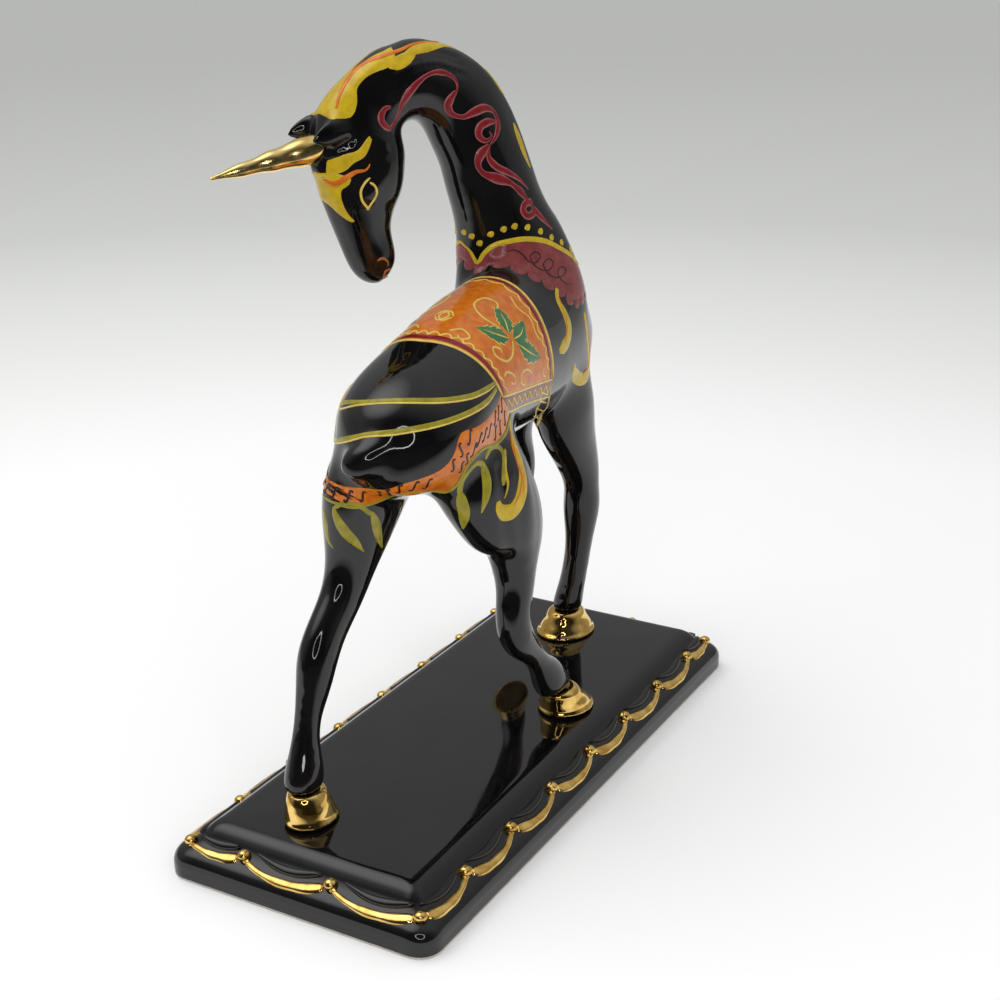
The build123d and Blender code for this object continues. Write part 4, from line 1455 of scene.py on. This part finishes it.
# %% Eyes and nostrils
EYES = [
    (0.75, "even", [(371, 177), (365, 183), (361, 191), (362, 200), (366, 206), (370, 211)]),
    (0.75, "even", [(369, 182), (375, 186), (377, 193), (374, 200), (369, 207), (366, 212)]),
]
NOSTRILS = [
    (0.9, "tapered", [(377, 262), (380, 259), (385, 259), (388, 263), (387, 268)]),
    (0.9, "tapered", [(391, 268), (386, 271), (384, 276), (387, 280), (391, 278)]),
]
paint("eyes", line_enamel, EYES, neck_reflected)
paint("nostrils", rust_enamel, NOSTRILS, neck_reflected)

# %% [markdown]
# ## Floor and light
# The floor is pale and matt, white near the figurine and a little greyer far away: painted shade in its
# colour, standing in for light that falls off. The photographer stood in a dark room behind a ring lamp. The
# black glaze mirrors that room, so the floor's colour is painted dark towards the camera in reflections, and
# the lamp shows as small white rings.

# %% Floor
FLOOR_RADIUS = 4000
floor_bm = bmesh.new()
bmesh.ops.create_circle(floor_bm, cap_ends=True, segments=96, radius=FLOOR_RADIUS)
floor_mesh = bpy.data.meshes.new("floor")
floor_bm.to_mesh(floor_mesh)
floor_bm.free()
floor_mesh.transform(Matrix.Scale(MM, 4))
floor = bpy.data.objects.new("floor", floor_mesh)
bpy.context.scene.collection.objects.link(floor)
print("floor: %d m across" % (2 * FLOOR_RADIUS * MM))

# %% [markdown]
# The paper's colour is a ramp over the distance from the middle, in metres, that darkens outwards as painted
# shade. A second measure, how far a point lies towards the camera, only counts in reflections: there the
# paper is painted dark, a painted reflection of the dark room.

# %% Paper
PAPER_REACH = 2.5
# painted shade: the paper greys outwards from the figurine, standing in for light that falls off
PAPER_SHADE_STOPS = [(0.12, (0.93, 0.93, 0.93)), (0.20, (0.80, 0.81, 0.79)), (0.33, (0.65, 0.66, 0.64)),
               (0.8, (0.59, 0.60, 0.575))]
FADE_FROM, FADE_TO = 0.12, 0.21
PAINTED_ROOM_DARK = 0.05
paper, paper_shader = new_material("paper")
paper_nodes, paper_links = paper.node_tree.nodes, paper.node_tree.links
paper_place = paper_nodes.new("ShaderNodeTexCoord")


def paper_measure(operation, low, high):
    """A measure of the place on the paper, as a share from low to high metres."""
    vector = paper_nodes.new("ShaderNodeVectorMath")
    vector.operation = operation
    paper_links.new(paper_place.outputs["Object"], vector.inputs[0])
    if operation == "DOT_PRODUCT":
        vector.inputs[1].default_value = camera_side
    share = paper_nodes.new("ShaderNodeMapRange")
    share.inputs["From Min"].default_value = low
    share.inputs["From Max"].default_value = high
    paper_links.new(vector.outputs["Value"], share.inputs["Value"])
    return share.outputs["Result"]


# painted reflection: in glossy rays the paper turns dark towards the camera
paper_reflection_shade = paper_nodes.new("ShaderNodeMath")
paper_reflection_shade.operation = "MULTIPLY"
paper_links.new(paper_measure("DOT_PRODUCT", FADE_FROM, FADE_TO), paper_reflection_shade.inputs[0])
paper_links.new(paper_nodes.new("ShaderNodeLightPath").outputs["Is Glossy Ray"], paper_reflection_shade.inputs[1])
paper_shade_mix = paper_nodes.new("ShaderNodeMixRGB")
paper_shade_mix.inputs["Color2"].default_value = (PAINTED_ROOM_DARK, PAINTED_ROOM_DARK, PAINTED_ROOM_DARK, 1)
paper_links.new(paper_reflection_shade.outputs["Value"], paper_shade_mix.inputs["Fac"])
paper_links.new(ramp(paper, paper_measure("LENGTH", 0, PAPER_REACH), PAPER_SHADE_STOPS), paper_shade_mix.inputs["Color1"])
paper_links.new(paper_shade_mix.outputs["Color"], paper_shader.inputs["Base Color"])
paper_shader.inputs["Roughness"].default_value = 0.9
paper_shader.inputs["Specular IOR Level"].default_value = 0.1
floor_mesh.materials.append(paper)

# %% [markdown]
# The world is built from two small helpers: a grey ramp over how far a direction points some way, and a
# mix of two greys. Such a sky needs no picture and gives the same light on every run.

# %% World helpers
world = bpy.data.worlds.new("studio")
bpy.context.scene.world = world
world.use_nodes = True
sky_nodes, sky_links = world.node_tree.nodes, world.node_tree.links
direction = sky_nodes.new("ShaderNodeTexCoord")


def sky_ramp(way, stops):
    """A grey ramp over how far a direction points along a way."""
    along = sky_nodes.new("ShaderNodeVectorMath")
    along.operation = "DOT_PRODUCT"
    along.inputs[1].default_value = way
    sky_links.new(direction.outputs["Generated"], along.inputs[0])
    node = sky_nodes.new("ShaderNodeValToRGB")
    elements = node.color_ramp.elements
    for element, (place, grey) in zip(elements, (stops[0], stops[-1])):
        element.position, element.color = place, (grey, grey, grey, 1)
    for place, grey in stops[1:-1]:
        elements.new(place).color = (grey, grey, grey, 1)
    sky_links.new(along.outputs["Value"], node.inputs["Fac"])
    return node.outputs["Color"]


def sky_mix(kind, factor, first, second):
    """Mixes two colours, each a socket or a grey value."""
    node = sky_nodes.new("ShaderNodeMixRGB")
    node.blend_type = kind
    for socket, value in zip(node.inputs, (factor, first, second)):
        if isinstance(value, (int, float)):
            socket.default_value = value if socket.type == "VALUE" else (value, value, value, 1)
        else:
            sky_links.new(value, socket)
    return node.outputs["Color"]

# %% [markdown]
# The glossy glaze sees the room: grey walls that get lighter upwards, dark behind the camera, and the soft
# glow of the lamp overhead. The light that falls on the figurine is a plain even grey instead, and the
# camera sees a third grey, so that each can be set without upsetting the others.

# %% Room
SOFTBOX_PLACE = Vector((-150, 350, 900))
WALLS = [(0.0, 0.34), (0.3, 0.34), (0.85, 0.6)]
BEHIND_CAMERA = [(0.05, 1.0), (0.6, 0.06)]
GLOW = [(0.86, 0.0), (0.98, 1.0)]
GLOW_STRENGTH = 1.7
GLOW_SEEN_FROM = Vector((0, 0, 100))
FILL_GREY, SEEN_GREY = 0.79, 0.54
light_path = sky_nodes.new("ShaderNodeLightPath")
walls = sky_ramp(Vector((0, 0, 1)), WALLS)
room = sky_mix("MULTIPLY", 1.0, walls, sky_ramp(camera_side, BEHIND_CAMERA))
glow_way = (SOFTBOX_PLACE - GLOW_SEEN_FROM).normalized()
glow = sky_mix("MULTIPLY", 1.0, sky_ramp(glow_way, GLOW), GLOW_STRENGTH)
room = sky_mix("ADD", 1.0, room, glow)
lit = sky_mix("MIX", light_path.outputs["Is Glossy Ray"], FILL_GREY, room)
sky = sky_nodes["Background"]
sky_links.new(sky_mix("MIX", light_path.outputs["Is Camera Ray"], lit, SEEN_GREY), sky.inputs["Color"])
sky.inputs["Strength"].default_value = 1.0
print("world: %d nodes" % len(sky_nodes))

# %% [markdown]
# The softbox gives the shadow on the paper its direction. It is hidden from reflections, where its hard
# corners would show in the glaze; the glow in the world stands for it there.

# %% Softbox
SOFTBOX_SIZE = (0.9, 0.6)
SOFTBOX_POWER = 3.2
SOFTBOX_AIM = Vector((0, 0, 80))
softbox_data = bpy.data.lights.new("softbox", "AREA")
softbox_data.shape = "RECTANGLE"
softbox_data.size, softbox_data.size_y = SOFTBOX_SIZE
softbox_data.energy = SOFTBOX_POWER
softbox = bpy.data.objects.new("softbox", softbox_data)
softbox.visible_glossy = False
softbox.location = SOFTBOX_PLACE * MM
softbox.rotation_euler = (SOFTBOX_AIM * MM - softbox.location).to_track_quat("-Z", "Y").to_euler()
bpy.context.scene.collection.objects.link(softbox)
print("softbox: %.1f W" % SOFTBOX_POWER)

# %% [markdown]
# The ring lamp is a flat glowing ring spun round the lens. It shows in the glaze and the gold as small
# white rings, but neither the camera sees it nor does it cast a shadow.

# %% Ring lamp
RING_INNER, RING_OUTER = 120.0, 133.0
RING_RISE = 30
RING_STRENGTH = 12.0
ring_bm = bmesh.new()
ring_ends = [ring_bm.verts.new((radius, 0, 0)) for radius in (RING_INNER, RING_OUTER)]
ring_edge = ring_bm.edges.new(ring_ends)
bmesh.ops.spin(ring_bm, geom=ring_ends + [ring_edge], cent=(0, 0, 0), axis=(0, 0, 1), angle=2 * math.pi,
               steps=96, use_merge=True)
ring_mesh = bpy.data.meshes.new("ring_lamp")
ring_bm.to_mesh(ring_mesh)
ring_bm.free()
ring_place = Matrix.Translation((view_eye + view_up * RING_RISE) * MM)
ring_mesh.transform(ring_place @ axes.to_4x4() @ Matrix.Scale(MM, 4))
ring_lamp = bpy.data.objects.new("ring_lamp", ring_mesh)
bpy.context.scene.collection.objects.link(ring_lamp)
ring_lamp.visible_camera = False
ring_lamp.visible_shadow = False
ring_glow, ring_shader = new_material("ring_glow")
ring_shader.inputs["Base Color"].default_value = (0, 0, 0, 1)
ring_shader.inputs["Emission Color"].default_value = (1, 1, 1, 1)
ring_shader.inputs["Emission Strength"].default_value = RING_STRENGTH
ring_mesh.materials.append(ring_glow)
print("ring lamp: %d faces" % len(ring_mesh.polygons))
